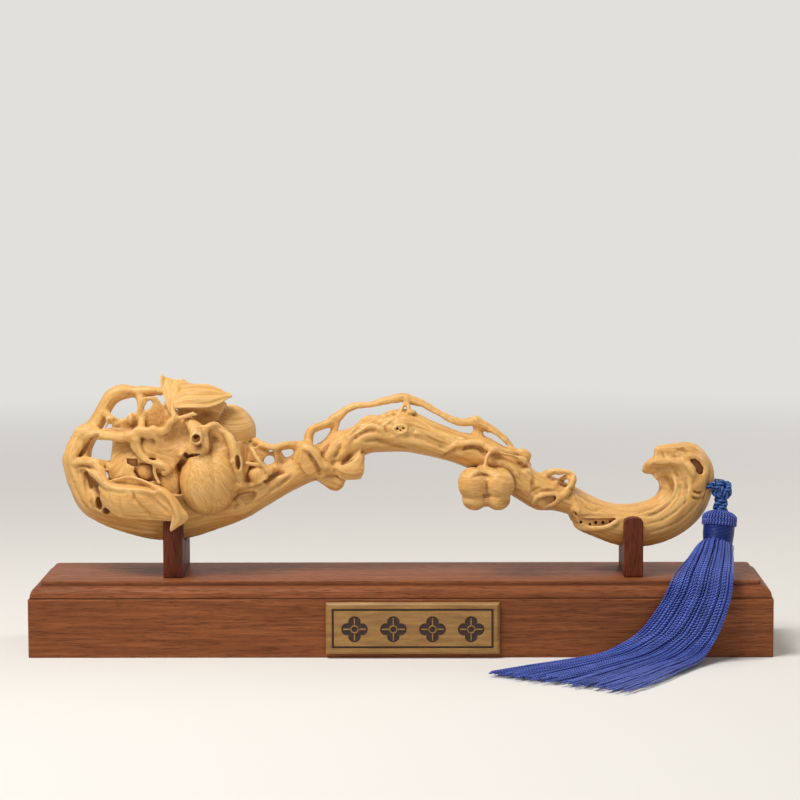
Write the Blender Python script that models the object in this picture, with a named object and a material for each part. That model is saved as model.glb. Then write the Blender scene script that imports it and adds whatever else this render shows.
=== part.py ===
"""A carved ruyi scepter resting on a moulded wooden base, with a silk tassel.

Metres, +Z up, +X towards the scepter's tail, -Y towards the viewer.
The origin is the middle of the base's underside.
"""

import math

import bmesh
import bpy
from mathutils import Matrix, Vector

MM = 0.001
CLEAR = 0.3 * MM  # gap between two pieces that seat on each other

# Base board, with a groove, an ovolo and a riser round its top
BASE_LENGTH = 0.3300
BASE_DEPTH = 0.0650
BASE_FACE_HEIGHT = 0.0261
BASE_CORNER_RADIUS = 0.0010
GROOVE_DEPTH = 0.0008
GROOVE_HEIGHT = 0.0006
OVOLO_HEIGHT = 0.0050
OVOLO_REACH = 0.0045
RISER_HEIGHT = 0.0018
TOP_INSET = 0.0052
TOP_CORNER_RADIUS = 0.0022
ARRIS = 0.0002
BASE_TOP = BASE_FACE_HEIGHT + GROOVE_HEIGHT + OVOLO_HEIGHT + RISER_HEIGHT
BASE_FRONT = -BASE_DEPTH / 2

# Name plate on the base's front
PLATE_LENGTH = 0.0768
PLATE_HEIGHT = 0.0230
PLATE_THICKNESS = 0.0026
PLATE_CHAMFER = 0.0010
PLATE_OFF_CENTRE = 0.0056
PLATE_ABOVE_TABLE = 0.0020
BORDER_INSET = 0.0026
BORDER_WIDTH = 0.0011
BORDER_DEPTH = 0.0005

# Cradles: uprights with a round-floored slot, tenoned into the base
CRADLE_SPREAD = 0.1028  # each cradle's distance from their middle
CRADLE_OFF_CENTRE = 0.0012
CRADLE_WIDTH = 0.0086
CRADLE_DEPTH = 0.0376
CRADLE_HEIGHT = 0.0266
CRADLE_CROWN = 0.0022
SLOT_SIDE_CLEARANCE = 0.0010  # between the slot's walls and the carving
SLOT_FLOOR_RISE = 0.0115
TENON_WIDTH = 0.0056
TENON_DEPTH = 0.0260
TENON_LENGTH = 0.0080

# The carving's sections, in millimetres, from the tip of the outer branch round the head and
# along the stem to the curl of the tail: (inner x, inner height, outer x, outer height,
# half depth, share of keel). Heights are above the base's top. The half depth is across the
# view, and a keeled section narrows downwards as a boat does.
BRANCH = [
    (-107.6, 80.2, -107.6, 83.0, 1.8, 0),
    (-118.3, 79.6, -118.3, 84.3, 2.6, 0),
    (-124.3, 78.7, -125.8, 85.1, 3.4, 0),
    (-128.2, 76.3, -131.8, 82.7, 3.9, 0),
    (-130.5, 73.0, -135.8, 77.0, 4.2, 0),
    (-133.5, 67.0, -140.4, 69.6, 4.8, 0),
    (-136.5, 61.5, -147.0, 64.0, 5.8, 0),
    (-138.8, 57.0, -151.0, 57.5, 6.6, 0),
    (-139.5, 50.5, -152.8, 50.5, 7.2, 0),
    (-138.3, 43.5, -150.8, 41.0, 8.0, 0),
]
CUP = [
    (-138.3, 43.5, -150.8, 41.0, 8.0, 0),
    (-135.0, 38.5, -146.3, 30.5, 10.5, 0.3),
    (-128.5, 37.5, -139.8, 24.1, 14.0, 0.7),
    (-119.0, 37.5, -127.5, 18.7, 17.0, 1),
    (-108.5, 37.5, -111.5, 14.8, 18.5, 1),
    (-98.0, 37.5, -97.0, 15.3, 18.5, 1),
    (-87.0, 38.0, -83.5, 19.3, 16.5, 0.9),
    (-76.0, 38.6, -74.0, 22.7, 12.5, 0.5),
    (-65.0, 39.6, -67.0, 26.0, 8.6, 0),
]
STEM = [
    (-65.0, 39.6, -67.0, 26.0, 8.6, 0),
    (-56.0, 47.0, -53.5, 34.3, 9.0, 0),
    (-46.5, 54.0, -44.0, 39.3, 9.0, 0),
    (-38.0, 58.0, -35.5, 42.8, 9.0, 0),
    (-28.0, 63.5, -24.5, 48.0, 9.0, 0),
    (-18.5, 68.5, -15.0, 53.5, 9.0, 0),
    (-8.5, 71.5, -7.0, 54.5, 9.3, 0),
    (1.0, 74.0, 2.0, 54.5, 9.8, 0),
    (9.5, 71.5, 8.5, 53.5, 9.6, 0),
    (18.5, 67.3, 15.0, 52.0, 9.3, 0),
    (28.0, 63.3, 24.0, 49.5, 9.0, 0),
    (38.0, 61.5, 32.5, 46.0, 9.5, 0),
    (49.0, 56.5, 42.0, 39.5, 10.0, 0),
    (57.5, 50.5, 50.5, 34.5, 10.0, 0),
    (66.5, 44.7, 60.5, 28.5, 10.0, 0),
    (73.5, 41.0, 69.0, 27.8, 10.0, 0),
    (79.0, 38.4, 76.5, 25.8, 9.8, 0),
]
TAIL = [
    (79.0, 38.4, 76.5, 25.8, 9.8, 0),
    (85.3, 34.9, 79.5, 19.5, 10.5, 0),
    (93.0, 31.5, 88.0, 15.6, 11.2, 0),
    (100.7, 30.5, 98.5, 11.9, 11.8, 0),
    (107.5, 31.4, 108.5, 11.4, 11.8, 0),
    (112.5, 33.5, 119.0, 13.5, 11.8, 0),
    (116.0, 36.5, 129.5, 19.3, 12.0, 0),
    (117.5, 39.9, 137.5, 28.3, 12.0, 0),
    (117.3, 42.0, 141.2, 40.0, 11.8, 0),
    (116.5, 43.3, 140.0, 49.5, 11.2, 0),
    (114.8, 43.9, 133.5, 57.4, 10.2, 0),
    (112.6, 44.3, 125.0, 58.6, 9.0, 0),
    (110.5, 44.7, 116.5, 56.3, 7.5, 0),
    (108.6, 45.7, 111.5, 50.5, 4.0, 0),
]
SIDES = 20
KEEL_POWER = 0.7

# Fruits: middle and half sizes along X, Y and Z, in millimetres above the base's top
FRUITS = {
    "persimmon_front": ((-86.2, -12.0, 43.0), (13.9, 13.5, 15.0)),
    "persimmon_left": ((-116.6, -3.5, 45.0), (16.0, 15.0, 17.0)),
    "persimmon_rear": ((-78.5, 3.5, 63.0), (13.2, 13.0, 13.0)),
}
FRUIT_LOBES = 4
FRUIT_LOBE_DEPTH = 0.03

# Twigs, as (x, y, height above the base's top, radius) in millimetres
TWIGS = {
    "cross_twig": [
        (-143.0, -2.0, 63.5, 3.2), (-136.0, -8.0, 63.8, 2.7), (-129.0, -13.0, 63.0, 2.3),
        (-121.0, -16.0, 63.2, 2.2), (-115.6, -17.0, 65.6, 2.4), (-109.0, -18.0, 64.8, 2.2),
        (-103.6, -18.0, 65.0, 2.2), (-101.2, -16.5, 69.0, 2.0), (-100.4, -13.0, 73.4, 1.8),
    ],
    "hanging_vine": [
        (-119.5, -16.5, 63.0, 1.5), (-118.4, -17.5, 58.5, 1.3), (-115.0, -18.3, 54.5, 1.2),
        (-110.0, -18.5, 51.5, 1.1), (-104.6, -17.6, 49.6, 1.0),
    ],
    "web_upright": [
        (-117.4, -1.0, 81.0, 1.9), (-116.8, -3.5, 76.2, 1.6), (-116.0, -7.5, 71.5, 1.6),
        (-115.4, -15.0, 66.4, 1.8),
    ],
    "web_lower": [
        (-132.2, -4.0, 72.2, 1.8), (-128.6, -6.6, 69.4, 1.5), (-124.6, -8.2, 69.0, 1.4),
        (-119.8, -8.6, 71.0, 1.4), (-116.2, -7.4, 71.8, 1.4),
    ],
    "web_rear": [
        (-116.6, -3.0, 78.4, 1.4), (-110.0, -4.0, 78.4, 1.5), (-105.4, -6.4, 74.8, 1.6),
        (-103.2, -11.0, 70.4, 1.6), (-102.8, -15.4, 67.6, 1.6),
    ],
    "leaf_front_stalk": [
        (-144.0, -4.0, 50.0, 2.8), (-139.0, -8.5, 50.6, 2.3), (-134.5, -12.5, 48.6, 1.9),
        (-131.4, -15.0, 44.4, 1.5),
    ],
    "neck_twig": [
        (-67.5, -4.0, 59.5, 1.8), (-62.0, -6.5, 58.4, 1.6), (-57.0, -7.2, 57.4, 1.5),
        (-51.0, -6.8, 58.8, 1.5), (-45.0, -5.0, 58.4, 1.8),
    ],
    "neck_strut": [
        (-56.5, -7.0, 57.0, 1.2), (-55.6, -6.6, 52.0, 1.1), (-56.5, -5.6, 46.0, 1.4),
    ],
    "collar_twig": [
        (-45.5, -5.5, 52.5, 1.8), (-42.8, -8.4, 56.6, 1.7), (-38.2, -9.2, 55.4, 1.6),
        (-34.6, -9.4, 50.0, 1.5), (-30.2, -8.4, 46.6, 1.6), (-27.0, -6.4, 49.0, 1.4),
    ],
    "arch_twig": [
        (-45.0, -3.5, 54.0, 1.9), (-43.6, -3.5, 61.0, 1.6), (-40.6, -2.6, 66.0, 1.6),
        (-31.0, -1.0, 69.7, 1.5), (-22.0, 0.0, 76.0, 1.5), (-11.7, 0.0, 76.6, 1.4),
        (1.2, 0.0, 80.4, 1.5), (7.6, 0.0, 77.8, 1.4), (21.2, 0.0, 70.0, 1.4),
        (31.5, 0.0, 68.4, 1.5), (36.5, 0.0, 68.8, 1.6), (43.8, -0.5, 64.0, 1.4),
        (48.8, -1.0, 57.5, 1.4), (50.5, -1.0, 53.0, 1.4),
    ],
    "arch_strut_left": [(-30.0, -0.8, 69.8, 1.5), (-27.6, -0.6, 65.5, 1.5), (-26.0, -0.5, 61.0, 1.8)],
    "arch_strut_crown": [(2.2, -0.2, 79.6, 1.4), (1.6, -1.6, 75.5, 1.3), (0.8, -2.6, 71.0, 1.9)],
    "arch_strut_right": [(34.0, 0.0, 68.6, 2.0), (34.6, 0.0, 64.5, 2.0), (35.0, 0.0, 59.0, 2.4)],
    "fruit_twig": [
        (25.5, -6.4, 57.5, 1.3), (31.0, -8.6, 59.6, 1.3), (36.4, -9.4, 59.4, 1.3),
        (41.0, -10.6, 56.6, 1.3), (46.0, -10.8, 54.0, 1.2), (51.0, -10.4, 52.6, 1.3),
        (55.5, -9.0, 50.5, 1.5),
    ],
    "fruit_stalk": [
        (41.2, -11.0, 56.2, 1.3), (38.6, -13.4, 53.6, 1.2), (37.4, -14.4, 49.0, 1.3),
    ],
    "bark_loop": [
        (64.5, -4.0, 43.0, 1.5), (67.5, -5.4, 46.4, 1.4), (72.0, -6.4, 47.4, 1.3),
        (77.0, -7.0, 46.0, 1.3), (78.0, -8.2, 42.4, 1.3), (74.5, -9.0, 38.0, 1.5),
        (72.5, -8.4, 34.5, 1.5),
    ],
}
TWIG_SIDES = 8

# Leaves, as (x, y, height above the base's top, half width) in millimetres along the midrib,
# with the direction across the blade
LEAVES = {
    "leaf_top": (
        [(-106.4, -8.5, 85.4, 4.8), (-102.0, -9.5, 81.6, 7.8), (-95.0, -9.5, 81.2, 7.0),
         (-87.0, -8.5, 80.7, 5.8), (-79.5, -6.5, 79.8, 3.4), (-75.2, -5.0, 79.3, 0.8)],
        (0.1, 0.5, 0.86),
    ),
    "leaf_front": (
        [(-131.6, -15.7, 43.2, 1.7), (-125.5, -19.0, 39.2, 6.6), (-117.0, -21.0, 36.8, 8.8),
         (-108.0, -22.4, 34.2, 8.8), (-101.4, -23.4, 28.6, 5.2), (-101.8, -23.0, 22.2, 0.8)],
        (0.25, -0.1, 0.96),
    ),
    "calyx_lobe": (
        [(-87.5, -13.0, 68.8, 2.4), (-82.0, -15.0, 68.2, 3.8), (-76.6, -15.4, 64.6, 4.2),
         (-73.0, -15.4, 57.0, 3.6), (-71.0, -14.6, 47.5, 2.0), (-71.0, -14.0, 42.5, 0.8)],
        (0.1, 1.0, 0.1),
    ),
    "stem_leaf": (
        [(-33.0, -6.4, 49.4, 1.4), (-27.5, -8.8, 47.6, 3.6), (-21.5, -9.0, 48.0, 4.4),
         (-16.2, -7.4, 51.4, 2.4)],
        (0.35, -0.35, 0.87),
    ),
    "stem_leaf_under": (
        [(-37.5, -3.0, 43.8, 1.4), (-32.5, -3.6, 41.6, 3.2), (-26.6, -3.4, 42.0, 2.2)],
        (0.3, 0.2, 0.93),
    ),
    "leaf_back": (
        [(-119.0, 6.8, 58.6, 2.2), (-112.0, 11.5, 63.5, 6.5), (-102.5, 14.8, 65.0, 8.0),
         (-92.0, 16.0, 62.5, 5.5), (-83.5, 16.4, 60.0, 1.0)],
        (0.1, -0.5, 0.86),
    ),
}
LEAF_THICKNESS = 1.3 * MM

# The lump where the front fruit's calyx, its stalk and the twigs meet, and the hollow stalk
CALYX = ((-95.0, -11.0, 60.8), (10.0, 8.5, 10.8))
STALK_STUB = [(-92.4, -14.5, 62.6, 2.3), (-90.6, -18.6, 62.8, 2.1), (-89.6, -21.4, 62.8, 2.2)]
STUB_BORE = 1.1 * MM
NECK_KNOT = ((-65.4, -5.5, 43.4), (4.6, 4.6, 4.8))

# Hanging persimmon under the stem, as (height above the base's top, radius) up its side
SMALL_FRUIT_X = 38.4 * MM
SMALL_FRUIT_Y = -14.5 * MM
SMALL_FRUIT_SQUEEZE = 0.88
SMALL_FRUIT = [
    (30.3, 5.0), (31.6, 8.4), (34.0, 10.2), (37.0, 10.6), (38.9, 9.9), (40.3, 11.4),
    (42.5, 12.6), (45.0, 12.3), (47.2, 10.2), (48.6, 6.6), (49.2, 2.6),
]
SMALL_CALYX_RADIUS = 6.2 * MM
SMALL_CALYX_THICKNESS = 1.0 * MM

# Hollows carved in the front of the stem and the tail: middle and half sizes in millimetres
STEM_HOLLOW = ((65.0, -10.0, 33.3), (4.8, 3.4, 2.0))
TAIL_HOLLOW = ((88.4, -11.2, 23.4), (9.4, 3.2, 2.0))

# Cord eye through the tail's outer rim
EYE_X = 138.0 * MM
EYE_HEIGHT = 39.2 * MM  # above the base's top
LOOP_DIAMETER = 2.0 * MM
EYE_CLEARANCE = 0.6 * MM
EYE_RADIUS = LOOP_DIAMETER / 2 + EYE_CLEARANCE

# The loop's middle line, as (x, y, height above the base's top) in millimetres, out of the
# knot's top, through the eye from the front and round the tail's rim back to the knot
LOOP_ROUTE = [
    (143.2, -7.3, 43.5), (142.9, -7.9, 44.9), (141.2, -10.3, 44.4), (139.0, -11.2, 41.7),
    (138.0, -9.4, 39.4), (138.0, -5.0, 39.2), (138.0, 5.0, 39.2), (138.0, 9.2, 39.2),
    (139.4, 11.2, 40.0), (142.2, 9.4, 41.6), (144.9, 4.4, 43.9), (146.1, -1.0, 45.6),
    (146.2, -3.9, 45.1), (145.75, -5.4, 43.05),
]

# Tassel: the knot's middle is its pivot, and its upper part lies along one leaning axis
PIVOT = Vector((144.2, -7.4, 38.6)) * MM  # above the base's top
TASSEL_LEAN = Vector((-2.4, -5.6, -26.0)).normalized()
KNOT_RADIUS = 4.7 * MM
KNOT_HALF_HEIGHT = 4.5 * MM
NECK_RADIUS = 3.3 * MM
NECK_LENGTH = 5.9 * MM
CAP_RADIUS = 8.0 * MM
CAP_HEIGHT = 6.0 * MM
BAND_RADIUS = 7.1 * MM
BAND_FOOT_RADIUS = 6.6 * MM
BAND_HEIGHT = 9.4 * MM

# The skirt's middle line down to its tips, in metres: (x, y, z, half width, half thickness,
# turn of its width away from the base's front, in degrees). It hangs from the band, falls over
# the base's front edge and fans out on the table.
SKIRT = [
    (0.1400, BASE_FRONT + 0.0100, BASE_TOP + 0.0078, 0.0084, 0.0060, 0),
    (0.1376, BASE_FRONT + 0.0036, BASE_TOP + 0.0056, 0.0104, 0.0044, 0),
    (0.1340, BASE_FRONT - 0.0038, BASE_TOP - 0.0016, 0.0130, 0.0035, 2),
    (0.1288, BASE_FRONT - 0.0070, 0.0200, 0.0155, 0.0035, 4),
    (0.1212, BASE_FRONT - 0.0120, 0.0115, 0.0182, 0.0035, 9),
    (0.1105, BASE_FRONT - 0.0204, 0.0062, 0.0215, 0.0033, 22),
    (0.0960, BASE_FRONT - 0.0325, 0.0038, 0.0255, 0.0028, 34),
    (0.0800, BASE_FRONT - 0.0465, 0.0027, 0.0300, 0.0020, 40),
    (0.0645, BASE_FRONT - 0.0595, 0.0020, 0.0340, 0.0013, 44),
]
SKIRT_SIDES = 20


def clear_scene():
    for thing in list(bpy.data.objects):
        bpy.data.objects.remove(thing, do_unlink=True)


def material(name, colour, roughness, metallic=0.0):
    made = bpy.data.materials.new(name)
    made.use_nodes = True
    shader = made.node_tree.nodes["Principled BSDF"]
    shader.inputs["Base Color"].default_value = (*colour, 1.0)
    shader.inputs["Roughness"].default_value = roughness
    shader.inputs["Metallic"].default_value = metallic
    return made


def through(points, spans):
    """A smooth curve through the points, as tuples, with spans steps between each pair."""
    rows = [tuple(p) for p in points]
    first = tuple(2 * a - b for a, b in zip(rows[0], rows[1]))
    last = tuple(2 * a - b for a, b in zip(rows[-1], rows[-2]))
    rows = [first, *rows, last]
    made = []
    for i in range(1, len(rows) - 2):
        for step in range(spans):
            t = step / spans
            made.append(tuple(
                0.5 * (2 * b + (c - a) * t + (2 * a - 5 * b + 4 * c - d) * t ** 2
                       + (3 * b - a - 3 * c + d) * t ** 3)
                for a, b, c, d in zip(*rows[i - 1:i + 3])
            ))
    made.append(rows[-2])
    return made


def loft(rings):
    """A closed bmesh through rings of equally many points, capped at both ends."""
    made = bmesh.new()
    rows = [[made.verts.new(point) for point in ring] for ring in rings]
    count = len(rows[0])
    for low, high in zip(rows, rows[1:]):
        for i in range(count):
            j = (i + 1) % count
            made.faces.new((low[i], low[j], high[j], high[i]))
    caps = [made.faces.new(list(reversed(rows[0]))), made.faces.new(rows[-1])]
    bmesh.ops.triangulate(made, faces=caps)
    bmesh.ops.recalc_face_normals(made, faces=made.faces)
    return made


def box(low, high):
    made = bmesh.new()
    bmesh.ops.create_cube(made, size=1.0)
    bmesh.ops.scale(made, vec=Vector(high) - Vector(low), verts=made.verts)
    bmesh.ops.translate(made, vec=(Vector(high) + Vector(low)) / 2, verts=made.verts)
    return made


def link(name, shape, parent):
    mesh = bpy.data.meshes.new(name)
    shape.transform(Matrix.Translation(-parent.location))
    shape.to_mesh(mesh)
    shape.free()
    made = bpy.data.objects.new(name, mesh)
    bpy.context.scene.collection.objects.link(made)
    made.parent = parent
    return made


def piece(name, shape, look, parent, sharp=35):
    """A named part made of the bmesh, which stands where its points say."""
    made = link(name, shape, parent)
    made.data.materials.append(look)
    made.data.shade_smooth()
    made.data.set_sharp_from_angle(angle=math.radians(sharp))
    return made


def cutter(name, shape, parent):
    made = link(name, shape, parent)
    made.hide_render = True
    made.display_type = "WIRE"
    return made


def combine(target, tool, operation="DIFFERENCE"):
    made = target.modifiers.new(operation.lower() + "_" + tool.name, "BOOLEAN")
    made.operation = operation
    made.solver = "EXACT"
    made.object = tool


def frame_empty(name, place):
    made = bpy.data.objects.new(name, None)
    made.location = place
    bpy.context.scene.collection.objects.link(made)
    return made


def rounded_rectangle(length, depth, radius, steps=3):
    points = []
    for corner in range(4):
        sx = 1 if corner in (0, 3) else -1
        sy = 1 if corner in (0, 1) else -1
        for step in range(steps + 1):
            angle = math.pi / 2 * (corner + step / steps)
            points.append((
                sx * (length / 2 - radius) + radius * math.cos(angle),
                sy * (depth / 2 - radius) + radius * math.sin(angle),
            ))
    return points


def base_profile():
    """The base's edge from the underside up, as (inset, height, corner radius)."""
    groove_top = BASE_FACE_HEIGHT + GROOVE_HEIGHT
    profile = [
        (0.0, 0.0, BASE_CORNER_RADIUS),
        (0.0, BASE_FACE_HEIGHT - ARRIS, BASE_CORNER_RADIUS),
        (ARRIS, BASE_FACE_HEIGHT, BASE_CORNER_RADIUS),
        (GROOVE_DEPTH, BASE_FACE_HEIGHT + ARRIS / 4, BASE_CORNER_RADIUS),
        (GROOVE_DEPTH, groove_top - ARRIS / 4, BASE_CORNER_RADIUS),
    ]
    foot = TOP_INSET - OVOLO_REACH - ARRIS
    steps = 6
    for step in range(steps + 1):
        turn = math.pi / 2 * step / steps
        inset = foot + OVOLO_REACH * (1 - math.cos(turn))
        height = groove_top + OVOLO_HEIGHT * math.sin(turn)
        corner = BASE_CORNER_RADIUS + (TOP_CORNER_RADIUS - BASE_CORNER_RADIUS) * step / steps
        profile.append((inset, height, corner))
    profile.append((TOP_INSET, BASE_TOP - RISER_HEIGHT + ARRIS / 4, TOP_CORNER_RADIUS))
    profile.append((TOP_INSET, BASE_TOP - ARRIS, TOP_CORNER_RADIUS))
    profile.append((TOP_INSET + ARRIS, BASE_TOP, TOP_CORNER_RADIUS))
    return profile


def make_plinth(look, stand):
    rings = []
    for inset, height, corner in base_profile():
        flat = rounded_rectangle(BASE_LENGTH - 2 * inset, BASE_DEPTH - 2 * inset, corner)
        rings.append([(x, y, height) for x, y in flat])
    plinth = piece("plinth", loft(rings), look, stand, 25)
    half = TENON_WIDTH / 2 + CLEAR
    deep = TENON_DEPTH / 2 + CLEAR
    for side, name in ((-1, "left"), (1, "right")):
        x = CRADLE_OFF_CENTRE + side * CRADLE_SPREAD
        low = (x - half, -deep, BASE_TOP - TENON_LENGTH - CLEAR)
        high = (x + half, deep, BASE_TOP + TENON_LENGTH)
        combine(plinth, cutter("mortise_" + name, box(low, high), stand))


def make_nameplate(look, stand):
    back = BASE_FRONT - CLEAR
    front = back - PLATE_THICKNESS
    middle = PLATE_ABOVE_TABLE + PLATE_HEIGHT / 2
    corner = ARRIS
    rings = []
    for inset, y in ((0, back), (0, front + PLATE_CHAMFER), (PLATE_CHAMFER, front)):
        flat = rounded_rectangle(PLATE_LENGTH - 2 * inset, PLATE_HEIGHT - 2 * inset, corner, 1)
        rings.append([(PLATE_OFF_CENTRE + x, y, middle + z) for x, z in flat])
    plate = piece("nameplate", loft(rings), look, stand, 25)
    reach_x = PLATE_LENGTH / 2 - BORDER_INSET
    reach_z = PLATE_HEIGHT / 2 - BORDER_INSET
    bars = {
        "top": (-reach_x, reach_z - BORDER_WIDTH, reach_x, reach_z),
        "bottom": (-reach_x, -reach_z, reach_x, -reach_z + BORDER_WIDTH),
        "left": (-reach_x, -reach_z, -reach_x + BORDER_WIDTH, reach_z),
        "right": (reach_x - BORDER_WIDTH, -reach_z, reach_x, reach_z),
    }
    for name, (x0, z0, x1, z1) in bars.items():
        low = (PLATE_OFF_CENTRE + x0, front - PLATE_THICKNESS, middle + z0)
        high = (PLATE_OFF_CENTRE + x1, front + BORDER_DEPTH, middle + z1)
        combine(plate, cutter("border_" + name, box(low, high), stand))


def lowest_between(stations, x0, x1):
    """The lowest height of the carving's outer edge between two places along X, in metres."""
    rows = [(row[2] * MM, row[3] * MM) for row in through(stations, 12)]
    return min(height for x, height in rows if x0 <= x <= x1)


def widest_between(stations, x0, x1, ceiling):
    """The carving's greatest half depth under a ceiling, between two places along X, in metres."""
    widest = 0.0
    for row in through(stations, 12):
        ring = section(row)
        for low, high in zip(ring, ring[1:] + ring[:1]):
            if not x0 <= low.x <= x1:
                continue
            if low.z > ceiling >= high.z or high.z > ceiling >= low.z:
                share = (ceiling - low.z) / (high.z - low.z)
                widest = max(widest, abs(low.y + share * (high.y - low.y)))
            elif low.z <= ceiling:
                widest = max(widest, abs(low.y))
    return widest


def slot_shape(x, half, floor):
    """The cradle's slot: straight walls over a rounded floor, open at the top."""
    top = BASE_TOP + CRADLE_HEIGHT + SLOT_FLOOR_RISE
    steps = 10
    outline = [(half, top)]
    for step in range(steps + 1):
        angle = math.pi * step / steps
        outline.append((half * math.cos(angle), floor + SLOT_FLOOR_RISE * (1 - math.sin(angle))))
    outline.append((-half, top))
    ends = (x - CRADLE_WIDTH, x + CRADLE_WIDTH)
    return loft([[(end, y, z) for y, z in outline] for end in ends])


def make_cradle(name, side, stations, look, stand):
    x = CRADLE_OFF_CENTRE + side * CRADLE_SPREAD
    half = CRADLE_WIDTH / 2
    foot = BASE_TOP + CLEAR
    spring = foot + CRADLE_HEIGHT - CRADLE_CROWN
    outline = [(-half, foot), (half, foot), (half, spring)]
    steps = 6
    for step in range(1, steps):
        angle = math.pi * step / steps
        outline.append((half * math.cos(angle), spring + CRADLE_CROWN * math.sin(angle)))
    outline.append((-half, spring))
    rings = [[(x + px, y, z) for px, z in outline] for y in (-CRADLE_DEPTH / 2, CRADLE_DEPTH / 2)]
    body = piece("cradle_" + name, loft(rings), look, stand)
    low = (x - TENON_WIDTH / 2, -TENON_DEPTH / 2, BASE_TOP - TENON_LENGTH)
    high = (x + TENON_WIDTH / 2, TENON_DEPTH / 2, foot + TENON_WIDTH / 2)
    combine(body, cutter("tenon_" + name, box(low, high), stand), "UNION")
    floor = BASE_TOP + lowest_between(stations, x - half, x + half) - CLEAR
    widest = widest_between(stations, x - half, x + half, foot + CRADLE_HEIGHT)
    slot = slot_shape(x, widest + SLOT_SIDE_CLEARANCE, floor)
    combine(body, cutter("slot_" + name, slot, stand))


def section(station, grow=0.0):
    """The closed section of the carving at a station, in metres."""
    inner = Vector((station[0], 0, station[1])) * MM
    outer = Vector((station[2], 0, station[3])) * MM
    lift = Vector((0, 0, BASE_TOP))
    middle = (inner + outer) / 2 + lift
    up = (inner - outer).normalized()
    reach = (inner - outer).length / 2 + grow
    half, keel = station[4] * MM + grow, station[5]
    points = []
    for i in range(SIDES):
        angle = 2 * math.pi * i / SIDES
        side = math.sin(angle)
        if 0 < i < SIDES and i != SIDES // 2:
            boat = ((1 + math.cos(angle)) / 2) ** KEEL_POWER
            side = (1 - keel) * side + keel * math.copysign(boat, side)
        points.append(middle + up * reach * math.cos(angle) + Vector((0, half * side, 0)))
    return points


def sections(stations, spans=2, grow=0.0, start_gap=0.0, end_gap=0.0):
    """A stretch of the carving, kept short of its neighbours by a gap at either end."""
    rings = [section(row, grow) for row in through(stations, spans)]
    for gap, ring, other in ((start_gap, rings[0], rings[1]), (end_gap, rings[-1], rings[-2])):
        middle = sum(ring, Vector()) / SIDES
        away = (sum(other, Vector()) / SIDES - middle).normalized()
        ring[:] = [point + away * gap for point in ring]
    return loft(rings)


def ellipsoid(place, size, grow=0.0, lobes=0, rings=12, around=24):
    """A closed round body, with lobes round its upright axis if any are asked for."""
    middle = Vector(place) * MM + Vector((0, 0, BASE_TOP))
    made = bmesh.new()
    bmesh.ops.create_uvsphere(made, u_segments=around, v_segments=rings, radius=1.0)
    for vert in made.verts:
        angle = math.atan2(vert.co.y, vert.co.x)
        flat = math.hypot(vert.co.x, vert.co.y)
        swell = 1 + FRUIT_LOBE_DEPTH * flat * (math.cos(lobes * angle) if lobes else 0)
        vert.co = Vector((
            middle.x + vert.co.x * (size[0] * MM * swell + grow),
            middle.y + vert.co.y * (size[1] * MM * swell + grow),
            middle.z + vert.co.z * (size[2] * MM + grow),
        ))
    return made


def tube(route, grow=0.0, sides=TWIG_SIDES, spans=2):
    """A round twig along a route of (x, y, height, radius), with rounded ends."""
    rows = through(route, spans)
    places = [Vector(row[:3]) * MM + Vector((0, 0, BASE_TOP)) for row in rows]
    radii = [row[3] * MM + grow for row in rows]
    rings = []
    side = Vector((0.31, 0.93, 0.2))
    for i, place in enumerate(places):
        ahead = (places[min(i + 1, len(places) - 1)] - places[max(i - 1, 0)]).normalized()
        side = (side - ahead * side.dot(ahead)).normalized()
        other = ahead.cross(side)
        circle = []
        for j in range(sides):
            angle = 2 * math.pi * j / sides
            circle.append(side * math.cos(angle) + other * math.sin(angle))
        if i == 0:
            rings.append([place - ahead * radii[0] * 0.5 + c * radii[0] * 0.6 for c in circle])
        rings.append([place + c * radii[i] for c in circle])
        if i == len(places) - 1:
            rings.append([place + ahead * radii[i] * 0.5 + c * radii[i] * 0.6 for c in circle])
    return loft(rings)


def blade(midrib, across, grow=0.0, spans=2):
    """A leaf of even thickness: rings round the midrib, flat across it and cupped a little."""
    rows = through(midrib, spans)
    places = [Vector(row[:3]) * MM + Vector((0, 0, BASE_TOP)) for row in rows]
    thick = LEAF_THICKNESS / 2 + grow
    rings = []
    for i, place in enumerate(places):
        ahead = (places[min(i + 1, len(places) - 1)] - places[max(i - 1, 0)]).normalized()
        wide = Vector(across)
        wide = (wide - ahead * wide.dot(ahead)).normalized()
        face = ahead.cross(wide).normalized()
        half = rows[i][3] * MM + grow
        shares = (-1, -0.7, -0.35, 0, 0.35, 0.7, 1)
        top = [place + wide * half * s + face * (thick - half * 0.12 * s * s) for s in shares]
        bottom = [place + wide * half * s - face * (thick + half * 0.12 * s * s) for s in shares]
        rings.append(top + bottom[::-1])
    return loft(rings)


def small_fruit(grow=0.0, around=24):
    rings = []
    for height, radius in SMALL_FRUIT:
        ring = []
        for i in range(around):
            angle = 2 * math.pi * i / around
            lobed = (radius * MM + grow) * (1 + 0.045 * math.cos(FRUIT_LOBES * angle))
            ring.append((
                SMALL_FRUIT_X + lobed * math.cos(angle),
                SMALL_FRUIT_Y + SMALL_FRUIT_SQUEEZE * lobed * math.sin(angle),
                BASE_TOP + height * MM,
            ))
        rings.append(ring)
    return loft(rings)


def small_calyx(around=24):
    top = BASE_TOP + SMALL_FRUIT[-1][0] * MM + CLEAR
    rings = []
    for height, share in ((0, 0.96), (0.5, 1.0), (1.0, 0.92)):
        ring = []
        for i in range(around):
            angle = 2 * math.pi * i / around
            lobed = SMALL_CALYX_RADIUS * share * (1 - 0.28 * abs(math.sin(2 * angle)))
            ring.append((
                SMALL_FRUIT_X + lobed * math.cos(angle),
                SMALL_FRUIT_Y + lobed * math.sin(angle),
                top + SMALL_CALYX_THICKNESS * height,
            ))
        rings.append(ring)
    return loft(rings)


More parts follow.
